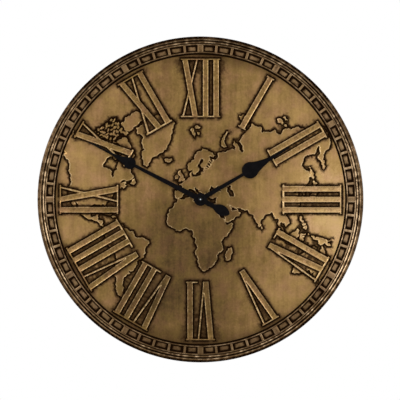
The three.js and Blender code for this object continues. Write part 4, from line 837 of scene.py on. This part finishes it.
def numeral_patina_and_highlight():
    """Bright stroke edges, dark chased lines, dull top serifs with a painted highlight to the right."""
    patina_and_highlight = np.interp(from_stroke, EDGE_STEPS, [-0.22, 1, -1, -0.55, 0])
    on_serif = (patina_and_highlight > 0) & (flat_radius > NUMERAL_TOP - 1.5 * SERIF)
    return np.where(on_serif, patina_and_highlight * np.interp(flat_x, [-0.1, 0.2], [0.1, 0.6]), patina_and_highlight)


def sheet_patina_and_highlight():
    """The darker of the two patinas beside a numeral, and the numeral's own on its strokes."""
    at_coast, at_stroke = coast_patina_and_highlight(), numeral_patina_and_highlight()
    beside = np.where(at_stroke < 0, np.minimum(at_stroke, at_coast), at_coast)
    return np.where(from_stroke < EDGE_FOOT, at_stroke, beside)


def sheet_painted_shade():
    """Painted shade round the strokes, along the coasts and at the field's edge, less so at its right."""
    near_stroke = np.exp(-np.maximum(from_stroke, 0) / STROKE_HALO) * (1 - climb)
    near_coast = 0.4 * np.exp(-np.maximum(from_coast, 0) / COAST_HALO) * (from_coast > 0)
    near_rim = np.interp(flat_x, [0.15, 0.25], [0.7, 0.1])
    near_rim = near_rim * np.exp(-(FIELD_RADIUS - flat_radius) / RIM_HALO)
    shade_and_tone = np.clip(np.maximum(near_stroke * 0.85, near_coast) + near_rim, 0, 1)
    return np.where(from_stroke < EDGE_TOP, near_rim * 0.5, shade_and_tone)


CLOUD_PLACE = (0.35, 0.0, 0.12)
BRASS_TONES = (0.15, 0.45, 0.8, 1.0)
# The colour that painted shade darkens the brass towards.
SHADE_COLOUR = (0.03, 0.0125, 0.003)
PATINA_FILM = (0.055, 0.025, 0.006)
PATINA_COLOUR = (0.0075, 0.0024, 0.0005)


def summed(tree, terms):
    """The sum of (value, weight) terms."""
    total = 0.0
    for value, weight in terms:
        total = arithmetic(tree, "MULTIPLY_ADD", value, weight, total)
    return total


def blend(tree, factor, first, second):
    """A colour between two others, each a link or a plain colour."""
    colours = [c if isinstance(c, bpy.types.NodeSocket) else (*c, 1.0) for c in (first, second)]
    made = add_node(tree, "ShaderNodeMix", {"data_type": "RGBA"}, {0: factor, 6: colours[0], 7: colours[1]})
    return made.outputs[2]


def patch_at(tree, place, x, z, reach, amount):
    """A tone that is the amount at one spot of the dial and fades to nothing at the reach."""
    moved = mapped(tree, place, (-x, 0.0, -z), (1.0, 0.0, 1.0))
    away = add_node(tree, "ShaderNodeVectorMath", {"operation": "LENGTH"}, {0: moved})
    return ranged(tree, away.outputs["Value"], (0.0, amount), (reach, 0.0), "SMOOTHSTEP")


def stored(tree, name):
    """A number that is stored for each point of a mesh."""
    return add_node(tree, "ShaderNodeAttribute", {"attribute_name": name}).outputs["Fac"]


def antique_brass(name, ochre_stops, russet_stops, edge_colour, wear_scale, wear_depth, highlight_gains, sheen_and_shade):
    """Brass with patina in the hollows, bright edges and painted light, led by each point's stored values.

    The two rows of stops are the yellow and the red of the brass, from its darkest tone to its lightest.
    The brass is lighter towards the left and right sides, a painted sheen. The wear's scale is that of the
    patches where an edge is rubbed bright, and its depth how much they differ; these patches also break up
    the painted highlights on the edges. The gains are how bright those painted highlights are, as (distance
    aside from the middle, brightness) twice, brighter on the right than on the left. The spots are painted
    sheen and shade, each with its x, z, reach and change of tone.
    """
    material, tree, principled, place = shader(name, 0.42, 0.92)
    patina_and_highlight = stored(tree, "patina_and_highlight")
    shade_and_tone = stored(tree, "shade_and_tone")
    cloud_place = mapped(tree, place, CLOUD_PLACE)
    streak = noise(tree, mapped(tree, place, scale=(120.0, 20.0, 11.0)), 1.0)
    cloud = noise(tree, cloud_place, 13.0, 6.0)
    warm = noise(tree, cloud_place, 34.0, 3.0)
    mottle = noise(tree, cloud_place, 55.0, 3.0)
    speck = noise(tree, place, 260.0, 4.0, 0.7)
    wear = noise(tree, place, wear_scale, 4.0, 0.65)
    across = add_node(tree, "ShaderNodeSeparateXYZ", inputs={"Vector": place}).outputs["X"]
    aside = arithmetic(tree, "ABSOLUTE", across)

    # Painted sheen and shade: lighter towards the left and right sides, and lighter or darker in the spots.
    painted_side_sheen = ranged(tree, aside, (0.03, -0.165), (0.23, 0.02), "SMOOTHSTEP")
    painted_patches = [(patch_at(tree, place, *spot), 1.0) for spot in sheen_and_shade]
    patterns = [(streak, 0.32), (cloud, 0.46), (mottle, 0.26), (speck, 0.28)]
    tone = summed(tree, patterns + [(painted_side_sheen, 1.0)] + painted_patches)
    ochre = ramp(tree, tone, list(zip(BRASS_TONES, ochre_stops)))
    russet = ramp(tree, tone, list(zip(BRASS_TONES, russet_stops)))
    brass = blend(tree, ranged(tree, warm, (0.42, 0.0), (0.68, 1.0)), ochre, russet)

    # Painted shade: near the relief the brass is darkened towards a dark brown.
    shade = ranged(tree, arithmetic(tree, "MULTIPLY", shade_and_tone, cloud), (0.08, 0.0), (0.55, 0.88))
    shaded = blend(tree, shade, brass, SHADE_COLOUR)
    patch = ranged(tree, wear, (0.4, 1.0 - wear_depth), (0.63, 1.0 + wear_depth))
    # Painted highlights: edges are brighter towards the sides, and brighter on the right than on the left.
    side_highlight = ranged(tree, aside, *highlight_gains)
    highlight_gain = arithmetic(tree, "MULTIPLY", side_highlight, ranged(tree, across, (-0.3, 0.75), (0.3, 1.3)))
    worn_and_highlit = arithmetic(tree, "MULTIPLY", patina_and_highlight, arithmetic(tree, "MULTIPLY", highlight_gain, patch))
    edged = blend(tree, ranged(tree, worn_and_highlit, (0.1, 0.0), (1.15, 1.0)), shaded, edge_colour)
    kept = summed(tree, [(speck, 0.5), (wear, wear_depth), (patina_and_highlight, 1.0)])
    dark = ranged(tree, kept, (0.1 + wear_depth / 2, 0.0), (wear_depth / 2 - 0.5, 0.98))
    filmed = blend(tree, ranged(tree, dark, (0.0, 0.0), (0.6, 0.9)), edged, PATINA_FILM)
    crusted = blend(tree, ranged(tree, dark, (0.55, 0.0), (1.0, 1.0)), filmed, PATINA_COLOUR)
    gloss = ranged(tree, tone, (0.25, 0.5), (0.75, 0.36))
    grain = summed(tree, [(wear, wear_depth), (speck, 1.0)])
    join(tree, principled, {
        "Base Color": crusted,
        "Roughness": ranged(tree, dark, (0.0, gloss), (1.0, 0.85)),
        "Metallic": ranged(tree, dark, (0.0, 0.92), (1.0, 0.0)),
        "Specular IOR Level": ranged(tree, dark, (0.0, 0.3), (1.0, 0.01)),
        "Normal": bumped(tree, grain, 0.2, 0.0008),
    })
    return material


def give_values(piece, patina_and_highlight, shade_and_tone):
    """Stores the patina and highlight, and the shade and tone, of each point of a piece's mesh."""
    for name, numbers in (("patina_and_highlight", patina_and_highlight), ("shade_and_tone", shade_and_tone)):
        layer = piece.data.attributes.new(name, "FLOAT", "POINT")
        layer.data.foreach_set("value", np.asarray(numbers, np.float32))


field_ochre = [(0.069, 0.0422, 0.0155), (0.206, 0.1242, 0.0385), (0.458, 0.28, 0.099), (0.66, 0.43, 0.179)]
field_russet = [(0.076, 0.0385, 0.0185), (0.218, 0.118, 0.048), (0.478, 0.27, 0.123), (0.68, 0.418, 0.212)]
# Painted sheen and shade in broad patches: darker at the lower left, lighter at the right.
dial_sheen_and_shade = [(-0.06, -0.125, 0.22, -0.23), (0.24, -0.02, 0.17, 0.33)]
field_sheen_and_shade = dial_sheen_and_shade + [(-0.16, 0.13, 0.1, -0.11), (-0.1, -0.18, 0.09, -0.07)]
dial_brass = antique_brass("dial_brass", field_ochre, field_russet, (0.76, 0.54, 0.28), 190.0, 0.6,
                           ((0.02, 0.62), (0.2, 1.05)), field_sheen_and_shade)
field_vertices, field_faces = two_sides(pressed_height())
field_mesh = bpy.data.meshes.new("dial_field")
field_mesh.from_pydata([tuple(vertex) for vertex in field_vertices], [], field_faces)
smoothed(field_mesh, dial_brass, 60.0)
field = shown("dial_field", field_mesh)
field_patina_and_highlight = sheet_patina_and_highlight()
field_painted_shade = sheet_painted_shade()
give_values(field, np.concatenate([field_patina_and_highlight, field_patina_and_highlight * REAR_PATINA]),
            np.concatenate([field_painted_shade, field_painted_shade]))
mounted(field, "clock_body")
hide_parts("dial_sheet")

# Dial border
# The same brass sheet outside the map, pressed with it: a chased groove, the two raised borders of the minute
# track, a bead, and the edge that is rolled round the hoop's lip and so holds the dial to the hoop.

BORDER_STEPS = 360
TRENCH = 0.0288
BEAD_MIDDLE = 0.2894
BEAD_HALF = 0.0024
BEAD_RISE = 0.0032
BEAD_STEPS = 8
BEAD_SHINE = 0.2886
BEAD_SHINE_REACH = 0.0013
ROLL_MIDDLE = 0.2958
ROLL_HALF = 0.0037
ROLL_RISE = 0.0039
ROLL_STEPS = 14
ROLL_SHINE = 0.2935
ROLL_SHINE_REACH = 0.0012
BEAD_START = 0.287
ROLL_START = 0.2922
INNER_PATINA = -0.5
BORDER_HALO = 0.78

rim_ochre = [(0.074, 0.04, 0.016), (0.2, 0.121, 0.052), (0.45, 0.289, 0.138), (0.52, 0.34, 0.17)]
rim_russet = [(0.078, 0.039, 0.016), (0.205, 0.117, 0.056), (0.46, 0.279, 0.15), (0.53, 0.33, 0.18)]
# Painted sheen and shade on the border: darker at the lower right, a little lighter at the top.
rim_sheen_and_shade = dial_sheen_and_shade + [(0.21, -0.21, 0.11, -0.2), (0.0, 0.29, 0.13, 0.06)]
rim_brass = antique_brass("rim_brass", rim_ochre, rim_russet, (0.72, 0.51, 0.3), 90.0, 1.4,
                          ((0.235, 0.72), (0.295, 2.7)), rim_sheen_and_shade)

# Each corner of the section has its radius, depth, and patina and highlight, first along the front and then
# back inside.
section = [
    (0.2658, 0.028, -0.5), (0.2664, 0.0276, -0.9), (0.2682, 0.0276, -1.0), (0.2692, 0.0299, -0.7),
    (0.2698, 0.0305, 0.35), (0.2705, 0.0306, 0.3), (0.2711, 0.0306, -0.35), (0.2716, 0.0302, -0.75),
    (0.2720, 0.0286, -0.95), (0.2833, 0.0286, -0.95), (0.2838, 0.0302, -0.6), (0.2844, 0.0306, 0.0),
    (0.2851, 0.0306, 0.5), (0.2858, 0.0306, -0.2), (0.2866, 0.0299, -0.8), (0.2872, TRENCH, -1.0),
]
# The bright line on the bead and on the roll, near each crest, is a painted highlight.
for step in range(1, BEAD_STEPS):
    angle = math.pi * step / BEAD_STEPS
    radius = BEAD_MIDDLE - BEAD_HALF * math.cos(angle)
    patina_and_highlight = 1.55 * math.exp(-((radius - BEAD_SHINE) / BEAD_SHINE_REACH) ** 2) - 1.0
    section.append((radius, TRENCH + BEAD_RISE * math.sin(angle), patina_and_highlight))
section.append((0.2921, TRENCH, -1.0))
for step in range(1, ROLL_STEPS):
    angle = math.pi * step / ROLL_STEPS
    radius = ROLL_MIDDLE - ROLL_HALF * math.cos(angle)
    dullness = 0.9 if radius < ROLL_SHINE else 0.78
    patina_and_highlight = 1.4 * math.exp(-((radius - ROLL_SHINE) / ROLL_SHINE_REACH) ** 2) - dullness
    section.append((radius, TRENCH + ROLL_RISE * math.sin(angle) ** 0.8, patina_and_highlight))
section += [
    (0.29985, 0.0282, -0.9), (0.3, 0.0268, -0.6), (0.2998, 0.0256, -0.6), (0.2992, 0.0246, -0.6),
    (0.2982, 0.0242, -0.6), (0.2960, 0.0242, -0.6),
]
inner_side = [
    (0.2960, 0.0253), (0.2982, 0.0254), (0.2987, 0.027), (0.2985, 0.0285), (0.2968, 0.0309),
    (0.2945, 0.031), (0.2925, 0.0275), (0.2905, 0.0298), (0.2886, 0.0298), (0.2868, 0.0276),
    (0.2862, 0.0294), (0.2845, 0.0294), (0.2835, 0.0275), (0.2716, 0.0275), (0.2706, 0.0294),
    (0.2694, 0.0294), (0.2682, 0.0268), (0.2658, 0.027),
]
section += [(radius, depth, INNER_PATINA) for radius, depth in inner_side]
border_outline = [(radius, depth) for radius, depth, _ in section]
border = closed_piece("dial_border", *turned(border_outline, BORDER_STEPS), rim_brass, 50.0)
mounted(border, "clock_body")


def border_patina_and_highlight(radius, angle, patina_and_highlight, dent):
    """A corner's patina: flatter at the roll's sides, a painted highlight at the bead's sides, and dented."""
    aside = abs(math.sin(angle))
    if radius > ROLL_START:
        return patina_and_highlight * np.interp(aside, [0.7, 0.95], [1.0, 0.42]) + 0.3 * dent
    if radius > BEAD_START:
        side_highlight = 0.32 + 0.2 * radius * math.sin(angle)
        return patina_and_highlight + np.interp(aside, [0.76, 0.96], [0.0, side_highlight]) + dent
    return patina_and_highlight


dent_chance = random.Random(5)
border_values = []
for step in range(BORDER_STEPS):
    angle = 2 * math.pi * step / BORDER_STEPS
    dent = dent_chance.uniform(-0.5, 0.5)
    border_values += [border_patina_and_highlight(radius, angle, patina_and_highlight, dent) for radius, _, patina_and_highlight in section]
give_values(border, border_values, [BORDER_HALO] * len(border_values))

# Minute track
# Between the two borders the sheet is pressed into bars, a thin one for each minute and a broad one for each
# hour, with a small raised cushion in each cell between them.

TRACK_INNER = 0.2716
TRACK_OUTER = 0.2837
TRACK_FLOOR = 0.0284
BAR_TOP = 0.0302
BAR_FLANK = 0.0004
BAR_SHOULDER = 0.0003
BAR_EDGE = 0.0009
HOURS = 12
CUSHION_CORNERS = 20
CUSHION_SHIFT = 0.0007
CUSHION_MARGIN = 0.0014
HOUR_MARGIN = 1.5
MINUTE_MARGIN = 0.9
track_middle = (TRACK_INNER + TRACK_OUTER) / 2


def stacked(count, rings, first=0):
    """The faces of a closed body whose corners lie in rings of that count, from its first corner on."""
    faces = []
    last = first + (rings - 1) * count
    for ring in range(first, last, count):
        for i in range(count):
            j = (i + 1) % count
            faces.append((ring + i, ring + j, ring + count + j, ring + count + i))
    return faces + [range(first, first + count), range(last, last + count)]


def on_track(x, depth, radius, turn):
    """A place beside 12 o'clock, turned clockwise."""
    along = x * math.cos(turn) + radius * math.sin(turn)
    up = radius * math.cos(turn) - x * math.sin(turn)
    return along, -depth, up


def hourly(name, vertices, values, faces, shade_and_tone):
    """A piece of the track that is made for one hour and repeated for all twelve."""
    piece = closed_piece(name, vertices, faces, rim_brass, 60.0)
    give_values(piece, values, [shade_and_tone] * len(values))
    mounted(repeated(piece, HOURS, rim_brass), "clock_body")


def track_bars(name, width, top_patina, minutes):
    """Bars across the track with sloped sides and a width in degrees, at these minutes of each hour."""
    half = track_middle * math.radians(width) / 2
    rows = [
        (half, TRACK_FLOOR, -0.95), (half - BAR_FLANK, BAR_TOP - BAR_SHOULDER, -0.3),
        (half - BAR_EDGE, BAR_TOP, 0.25), (half * 0.25, BAR_TOP, top_patina),
    ]
    corners = [(-x, depth, patina_and_highlight) for x, depth, patina_and_highlight in rows] + rows[::-1]
    vertices, values, faces = [], [], []
    for minute in minutes:
        faces += stacked(len(corners), 2, len(vertices))
        for radius in (TRACK_INNER, TRACK_OUTER):
            for x, depth, patina_and_highlight in corners:
                vertices.append(on_track(x, depth, radius, math.radians(6 * minute)))
                values.append(patina_and_highlight)
    hourly(name, vertices, values, faces, 0.5)


def five_cushions(name):
    """The cushions of the five cells that follow an hour, from their feet up to their crowned middles.

    Their margins beside hour bars and minute bars are in degrees.
    """
    middle = track_middle - CUSHION_SHIFT
    tall = (TRACK_OUTER - TRACK_INNER) / 2 - CUSHION_MARGIN
    rows = [(1.0, 0.0, -0.95), (0.86, 0.0007, -0.7), (0.62, 0.0011, -0.3), (0.3, 0.0012, -0.12)]
    vertices, values, faces = [], [], []
    for cell in range(5):
        start = 6 * cell + (HOUR_MARGIN if cell == 0 else MINUTE_MARGIN)
        end = 6 * cell + (6 - HOUR_MARGIN if cell == 4 else 6 - MINUTE_MARGIN)
        turn = math.radians((start + end) / 2)
        half = middle * math.radians(end - start) / 2
        faces += stacked(CUSHION_CORNERS, len(rows), len(vertices))
        for share, rise, patina_and_highlight in rows:
            for i in range(CUSHION_CORNERS):
                angle = 2 * math.pi * (i + 0.5) / CUSHION_CORNERS
                reach = 1 / max(abs(math.cos(angle)), abs(math.sin(angle))) ** 0.82
                x = half * share * reach * math.cos(angle)
                z = middle + tall * share * reach * math.sin(angle)
                vertices.append(on_track(x, TRACK_FLOOR + rise, z, turn))
                values.append(patina_and_highlight)
    hourly(name, vertices, values, faces, 0.55)


track_bars("minute_bars", 1.05, 0.12, (1, 2, 3, 4))
track_bars("hour_bars", 2.3, -0.22, (0,))
five_cushions("track_cushions")

# Movement
# A black moulded case holds the quartz movement, with white gears between plates inside it. A threaded brass
# bush passes through the dial, and a washer and a nut clamp the sheet.

case_plastic = speckled("case_plastic", (0.008, 0.008, 0.009), (0.02, 0.02, 0.021), 0.55, 0.0, 220.0,
                        bump=0.15)
gear_plastic = speckled("gear_plastic", (0.72, 0.70, 0.64), (0.82, 0.8, 0.75), 0.45, 0.0, 180.0)
turned_brass = speckled("turned_brass", (0.36, 0.22, 0.07), (0.52, 0.34, 0.13), 0.34, 1.0, 140.0)
coil_copper = speckled("coil_copper", (0.33, 0.11, 0.04), (0.52, 0.2, 0.08), 0.4, 0.9, 240.0, (1.0, 1.0, 6.0),
                       0.3)
board_green = speckled("board_green", (0.018, 0.075, 0.03), (0.035, 0.12, 0.05), 0.5, 0.0, 200.0)
magnet_grey = speckled("magnet_grey", (0.07, 0.07, 0.075), (0.13, 0.13, 0.14), 0.5, 0.6, 300.0)
for material, nodes in (
    (case_plastic, ("movement_front_case", "movement_rear_cover", "clock_chip")),
    (gear_plastic, ("movement_middle_plate", "minute_wheel", "hour_wheel", "centre_wheel", "third_wheel",
                    "seconds_wheel", "fifth_wheel", "rotor_pinion", "coil_bobbin")),
    (magnet_grey, ("rotor_magnet",)),
    (rivet_steel, ("stator", "coil_core", "quartz_crystal", "contact_plus", "contact_minus", "minute_arbor")),
    (coil_copper, ("coil_winding",)),
    (board_green, ("circuit_board",)),
    (turned_brass, ("centre_bush", "dial_washer", "dial_nut", "hour_collet")),
    (pad_rubber, ("dial_gasket",)),
):
    for node in nodes:
        dress(node, material)

# Setting knob
# A white moulded knob on the rear of the movement, with ribs round its edge for the fingers. A pinion on its
# shaft turns the minute wheel and so the hands.

RIB_COUNT = 24
RIB_STEPS = 6
RIB_HALF = 0.00036
RIB_RISE = 0.00034
RIB_SEAT = 0.00005
RIB_ENDS = (0.0004, 0.0027)
knob_low, knob_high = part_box("setting_knob")
knob_middle = ((knob_low.x + knob_high.x) / 2, 0.0, (knob_low.z + knob_high.z) / 2)
knob_radius = (knob_high.x - knob_low.x) / 2
dress("setting_knob", gear_plastic)
rib_vertices = []
for end in RIB_ENDS:
    for step in range(RIB_STEPS + 1):
        angle = math.pi * step / RIB_STEPS
        out = knob_radius - RIB_SEAT + RIB_RISE * math.sin(angle)
        rib_vertices.append((RIB_HALF * math.cos(angle), knob_high.y - end, out))
knob_ribs = closed_piece("knob_ribs", rib_vertices, stacked(RIB_STEPS + 1, 2), gear_plastic)
mounted(repeated(knob_ribs, RIB_COUNT, gear_plastic, knob_middle), "setting")

# Battery
# One AA cell in a plain grey shrink sleeve, with its steel button at the right end. It lies between the two
# contacts, in the open bay across the foot of the movement.

CELL_BUTTON = 0.0013
CELL_STEPS = 48
cell_sleeve = speckled("cell_sleeve", (0.12, 0.125, 0.13), (0.19, 0.195, 0.2), 0.35, 0.2, 30.0,
                       (1.0, 12.0, 12.0))
cell_low, cell_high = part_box("battery")
cell_radius = (cell_high.z - cell_low.z) / 2
cell_middle = Vector((cell_low.x, (cell_low.y + cell_high.y) / 2, (cell_low.z + cell_high.z) / 2))
cell_length = cell_high.x - cell_low.x
cell_top = cell_length - CELL_BUTTON
cell_outline = [
    (0.0, 0.0), (cell_radius * 0.9, 0.0), (cell_radius * 0.97, 0.0002), (cell_radius, 0.0008),
    (cell_radius, cell_length - 0.0022), (cell_radius * 0.97, cell_length - 0.0016),
    (cell_radius * 0.88, cell_top), (0.0029, cell_top), (0.00275, cell_length - 0.0002),
    (0.0024, cell_length), (0.0, cell_length),
]
cell_vertices, cell_faces = turned(cell_outline, CELL_STEPS)
lay = Matrix.Translation(cell_middle) @ Matrix.Rotation(math.pi / 2, 4, "Z")
cell = closed_piece("aa_cell", [lay @ Vector(vertex) for vertex in cell_vertices], cell_faces, cell_sleeve)
mounted(cell, "cell")
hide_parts("battery")

# Hour hand
# A spade hand stamped from thin sheet and painted satin black. It is pushed with its collet on the hour
# wheel's pipe.

HAND_EDGE = 0.00035
HAND_TIP = 0.0011
FLANK_ANGLE = math.radians(33)
FLANK_REACH = 0.57
HOUR_HUB = 0.0102
HOUR_BORE = 0.00545
HOUR_ANGLE = 59.6
hand_paint = speckled("hand_paint", (0.003, 0.0026, 0.003), (0.0065, 0.0058, 0.0064), 0.5, 0.0, 120.0,
                      bump=0.12)
hand_paint.node_tree.nodes["Principled BSDF"].inputs["Specular IOR Level"].default_value = 0.03


def bend(start, control, end, steps=8):
    """Points along a curve that leaves its start towards the control point, without the start itself."""
    points = []
    for i in range(1, steps + 1):
        t = i / steps
        points.append(tuple((1 - t) ** 2 * a + 2 * t * (1 - t) * b + t * t * c
                            for a, b, c in zip(start, control, end)))
    return points


def arc(centre, radius, first, last, steps=10):
    """Points along an arc about (0, centre), between two angles from the hand's right."""
    angles = [first + (last - first) * i / steps for i in range(steps + 1)]
    return [(radius * math.cos(angle), centre + radius * math.sin(angle)) for angle in angles]


def spade(shaft_end, centre, radius, neck, neck_half, tip):
    """The right side of a spade: a round bulb on the shaft's end, then a flank that narrows to the tip."""
    side = arc(centre, radius, -math.acos(shaft_end / radius), FLANK_ANGLE, 14)
    x, z = side[-1]
    reach = radius * FLANK_REACH
    control = (x - reach * math.sin(FLANK_ANGLE), z + reach * math.cos(FLANK_ANGLE))
    return side + bend(side[-1], control, (neck_half, neck)) + [(HAND_TIP, tip)]


def hand_piece(name, side, bore, node, angle, body):
    """A flat hand with eased edges and a round bore, as thick as its node, from its outline's right side."""
    low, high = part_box(node)
    outline = side + [(-x, z) for x, z in reversed(side) if x > 1e-6]
    hole = arc(0.0, bore, 2 * math.pi, 0.0, 40)[:-1]
    shape = bpy.data.curves.new(name + "_outline", "CURVE")
    shape.dimensions = "2D"
    shape.fill_mode = "BOTH"
    shape.extrude = (high.y - low.y) / 2 - HAND_EDGE
    shape.bevel_depth = HAND_EDGE
    shape.bevel_resolution = 2
    shape.offset = -HAND_EDGE
    for loop in (outline, hole):
        spline = shape.splines.new("POLY")
        spline.points.add(len(loop) - 1)
        for point, (x, z) in zip(spline.points, loop):
            point.co = (x, z, 0.0, 1.0)
        spline.use_cyclic_u = True
    flat_hand = shown(name + "_flat", shape)
    blade = as_mesh(flat_hand)
    bpy.data.objects.remove(flat_hand)
    bpy.data.curves.remove(shape)
    stand = Matrix.Translation((0.0, (low.y + high.y) / 2, 0.0)) @ Matrix.Rotation(math.pi / 2, 4, "X")
    blade.transform(Matrix.Rotation(math.radians(angle), 4, "Y") @ stand)
    cleaned(blade)
    smoothed(blade, hand_paint, 40.0)
    piece = mounted(shown(name, blade), body)
    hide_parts(node)


hour_side = arc(0.0, HOUR_HUB, -math.pi / 2, math.acos(0.0043 / HOUR_HUB))
hour_side += spade(0.0028, 0.1058, 0.0152, 0.145, 0.0037, 0.1895)
hand_piece("hour_spade", hour_side, HOUR_BORE, "hour_hand", HOUR_ANGLE, "hour")

# Minute hand
# The longer spade hand, stamped and painted as the other one, with a weight on its tail. It fits the minute
# arbor, and its round hub covers the dial's nut.

MINUTE_HUB = 0.012
MINUTE_BORE = 0.00205
MINUTE_ANGLE = 297.2
minute_side = [(0.0015, -0.0594)]
minute_side += bend(minute_side[-1], (0.009, -0.054), (0.0097, -0.0435))
minute_side += bend(minute_side[-1], (0.0097, -0.0379), (0.0076, -0.0341), 4)
minute_side += bend(minute_side[-1], (0.005, -0.0302), (0.0042, -0.026), 4)
minute_side += arc(0.0, MINUTE_HUB, -math.acos(0.0046 / MINUTE_HUB), math.acos(0.0049 / MINUTE_HUB))
minute_side += spade(0.0029, 0.1455, 0.011, 0.178, 0.0022, 0.2305)
hand_piece("minute_spade", minute_side, MINUTE_BORE, "minute_hand", MINUTE_ANGLE, "minute")

# Cap nut
# A small domed steel nut, turned and then painted black as the hands are. It is screwed on the end of the
# minute arbor and holds the minute hand. A bright metal spot at the top of its dome is a painted highlight.

CAP_RADIUS = 0.0046
CAP_DOME = 0.0026
CAP_BORE = 0.00205
CAP_ROOF = 0.0019
CAP_STEPS = 48
DOME_STEPS = 8
nut_low, nut_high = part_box("hand_cap_nut")
nut_rear, nut_front = -nut_high.y, -nut_low.y
cap_outline = [(CAP_BORE, nut_rear), (0.0044, nut_rear), (CAP_RADIUS, nut_rear + 0.0003)]
for step in range(DOME_STEPS):
    rise = math.pi / 2 * step / DOME_STEPS
    cap_outline.append((CAP_RADIUS * math.cos(rise), nut_front - CAP_DOME * (1 - math.sin(rise))))
cap_outline += [(0.0, nut_front), (0.0, nut_front - CAP_ROOF), (CAP_BORE, nut_front - CAP_ROOF)]
cap_paint, cap_tree, cap_shader, cap_place = shader("cap_paint", 0.3)
cap_speck = noise(cap_tree, cap_place, FINE_GRAIN)
# Painted highlight: the top of the dome turns to bright metal, its edge broken by fine noise.
cap_top = patch_at(cap_tree, cap_place, 0.0, 0.0, 0.0024, 1.0)
cap_highlight_mask = summed(cap_tree, [(cap_speck, 0.3), (cap_top, 1.0)])
cap_highlight = ranged(cap_tree, cap_highlight_mask, (0.55, 0.0), (0.95, 1.0))
cap_colour = ramp(cap_tree, cap_highlight, [(0.0, (0.004, 0.0036, 0.004)), (1.0, (0.72, 0.76, 0.8))])
join(cap_tree, cap_shader, {"Base Color": cap_colour, "Metallic": cap_highlight, "Specular IOR Level": 0.1})
cap = closed_piece("cap_nut", *turned(cap_outline, CAP_STEPS), cap_paint)
mounted(cap, "minute")
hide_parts("hand_cap_nut")

# Stage
# The clock is shown from straight ahead in soft studio light, above a pale floor, on white.

FLOOR = -0.75
floor_mesh = bpy.data.meshes.new("floor")
floor_corners = [(-6.0, -6.0, FLOOR), (6.0, -6.0, FLOOR), (6.0, 3.0, FLOOR), (-6.0, 3.0, FLOOR)]
floor_mesh.from_pydata(floor_corners, [], [(0, 1, 2, 3)])
floor_paper = speckled("floor_paper", (0.78, 0.78, 0.78), (0.82, 0.82, 0.82), 0.8, 0.0, 3.0)
floor_mesh.materials.append(floor_paper)
floor = shown("floor", floor_mesh)

DIAL_WIDTH = 0.6
RIM_DEPTH = 0.029
IMAGE_WIDTH = 400
DIAL_WIDTH_IN_IMAGE = 326.2
DIAL_CENTRE_IN_IMAGE = (200.47, 199.43)
CAMERA_DISTANCE = 3.2
SENSOR_WIDTH = 36.0
view_width = DIAL_WIDTH * IMAGE_WIDTH / DIAL_WIDTH_IN_IMAGE
per_pixel = view_width / IMAGE_WIDTH
camera_data = bpy.data.cameras.new("camera")
camera_data.sensor_width = SENSOR_WIDTH
camera_data.lens = SENSOR_WIDTH * CAMERA_DISTANCE / view_width
camera = shown("camera", camera_data)
camera.location = ((IMAGE_WIDTH / 2 - DIAL_CENTRE_IN_IMAGE[0]) * per_pixel, -RIM_DEPTH - CAMERA_DISTANCE,
                   (DIAL_CENTRE_IN_IMAGE[1] - IMAGE_WIDTH / 2) * per_pixel)
camera.rotation_euler = (math.pi / 2, 0.0, 0.0)
bpy.context.scene.camera = camera

LIGHT_SIZE = 0.7


def soft_light(name, place, power):
    """A square soft light at a place, turned to the clock."""
    data = bpy.data.lights.new(name, "AREA")
    data.size = LIGHT_SIZE
    data.energy = power
    lamp = shown(name, data)
    lamp.location = place
    lamp.rotation_euler = (-Vector(place)).to_track_quat("-Z", "Y").to_euler()


soft_light("left_light", (-1.6, -1.3, 0.9), 14.0)
soft_light("right_light", (1.6, -1.5, 0.3), 8.0)

# The backdrop is pure white where it is seen or mirrored, and weaker as the light from all round.
WHITE = (1.0, 1.0, 1.0, 1.0)
LIGHT_ALL_ROUND = 0.55
world = bpy.data.worlds.new("studio")
bpy.context.scene.world = world
world.use_nodes = True
sky = world.node_tree
sky.nodes.clear()
ray = add_node(sky, "ShaderNodeLightPath").outputs
seen = arithmetic(sky, "MAXIMUM", ray["Is Camera Ray"], ray["Is Glossy Ray"])
direct = arithmetic(sky, "MAXIMUM", seen, ray["Is Transmission Ray"])
lighting = add_node(sky, "ShaderNodeBackground", inputs={"Color": WHITE, "Strength": LIGHT_ALL_ROUND})
backdrop = add_node(sky, "ShaderNodeBackground", inputs={"Color": WHITE, "Strength": 1.0})
lights = [lighting.outputs[0], backdrop.outputs[0]]
both = add_node(sky, "ShaderNodeMixShader", inputs={0: direct, 1: lights[0], 2: lights[1]})
add_node(sky, "ShaderNodeOutputWorld", inputs={"Surface": both.outputs[0]})
bpy.context.scene.view_settings.view_transform = "Standard"
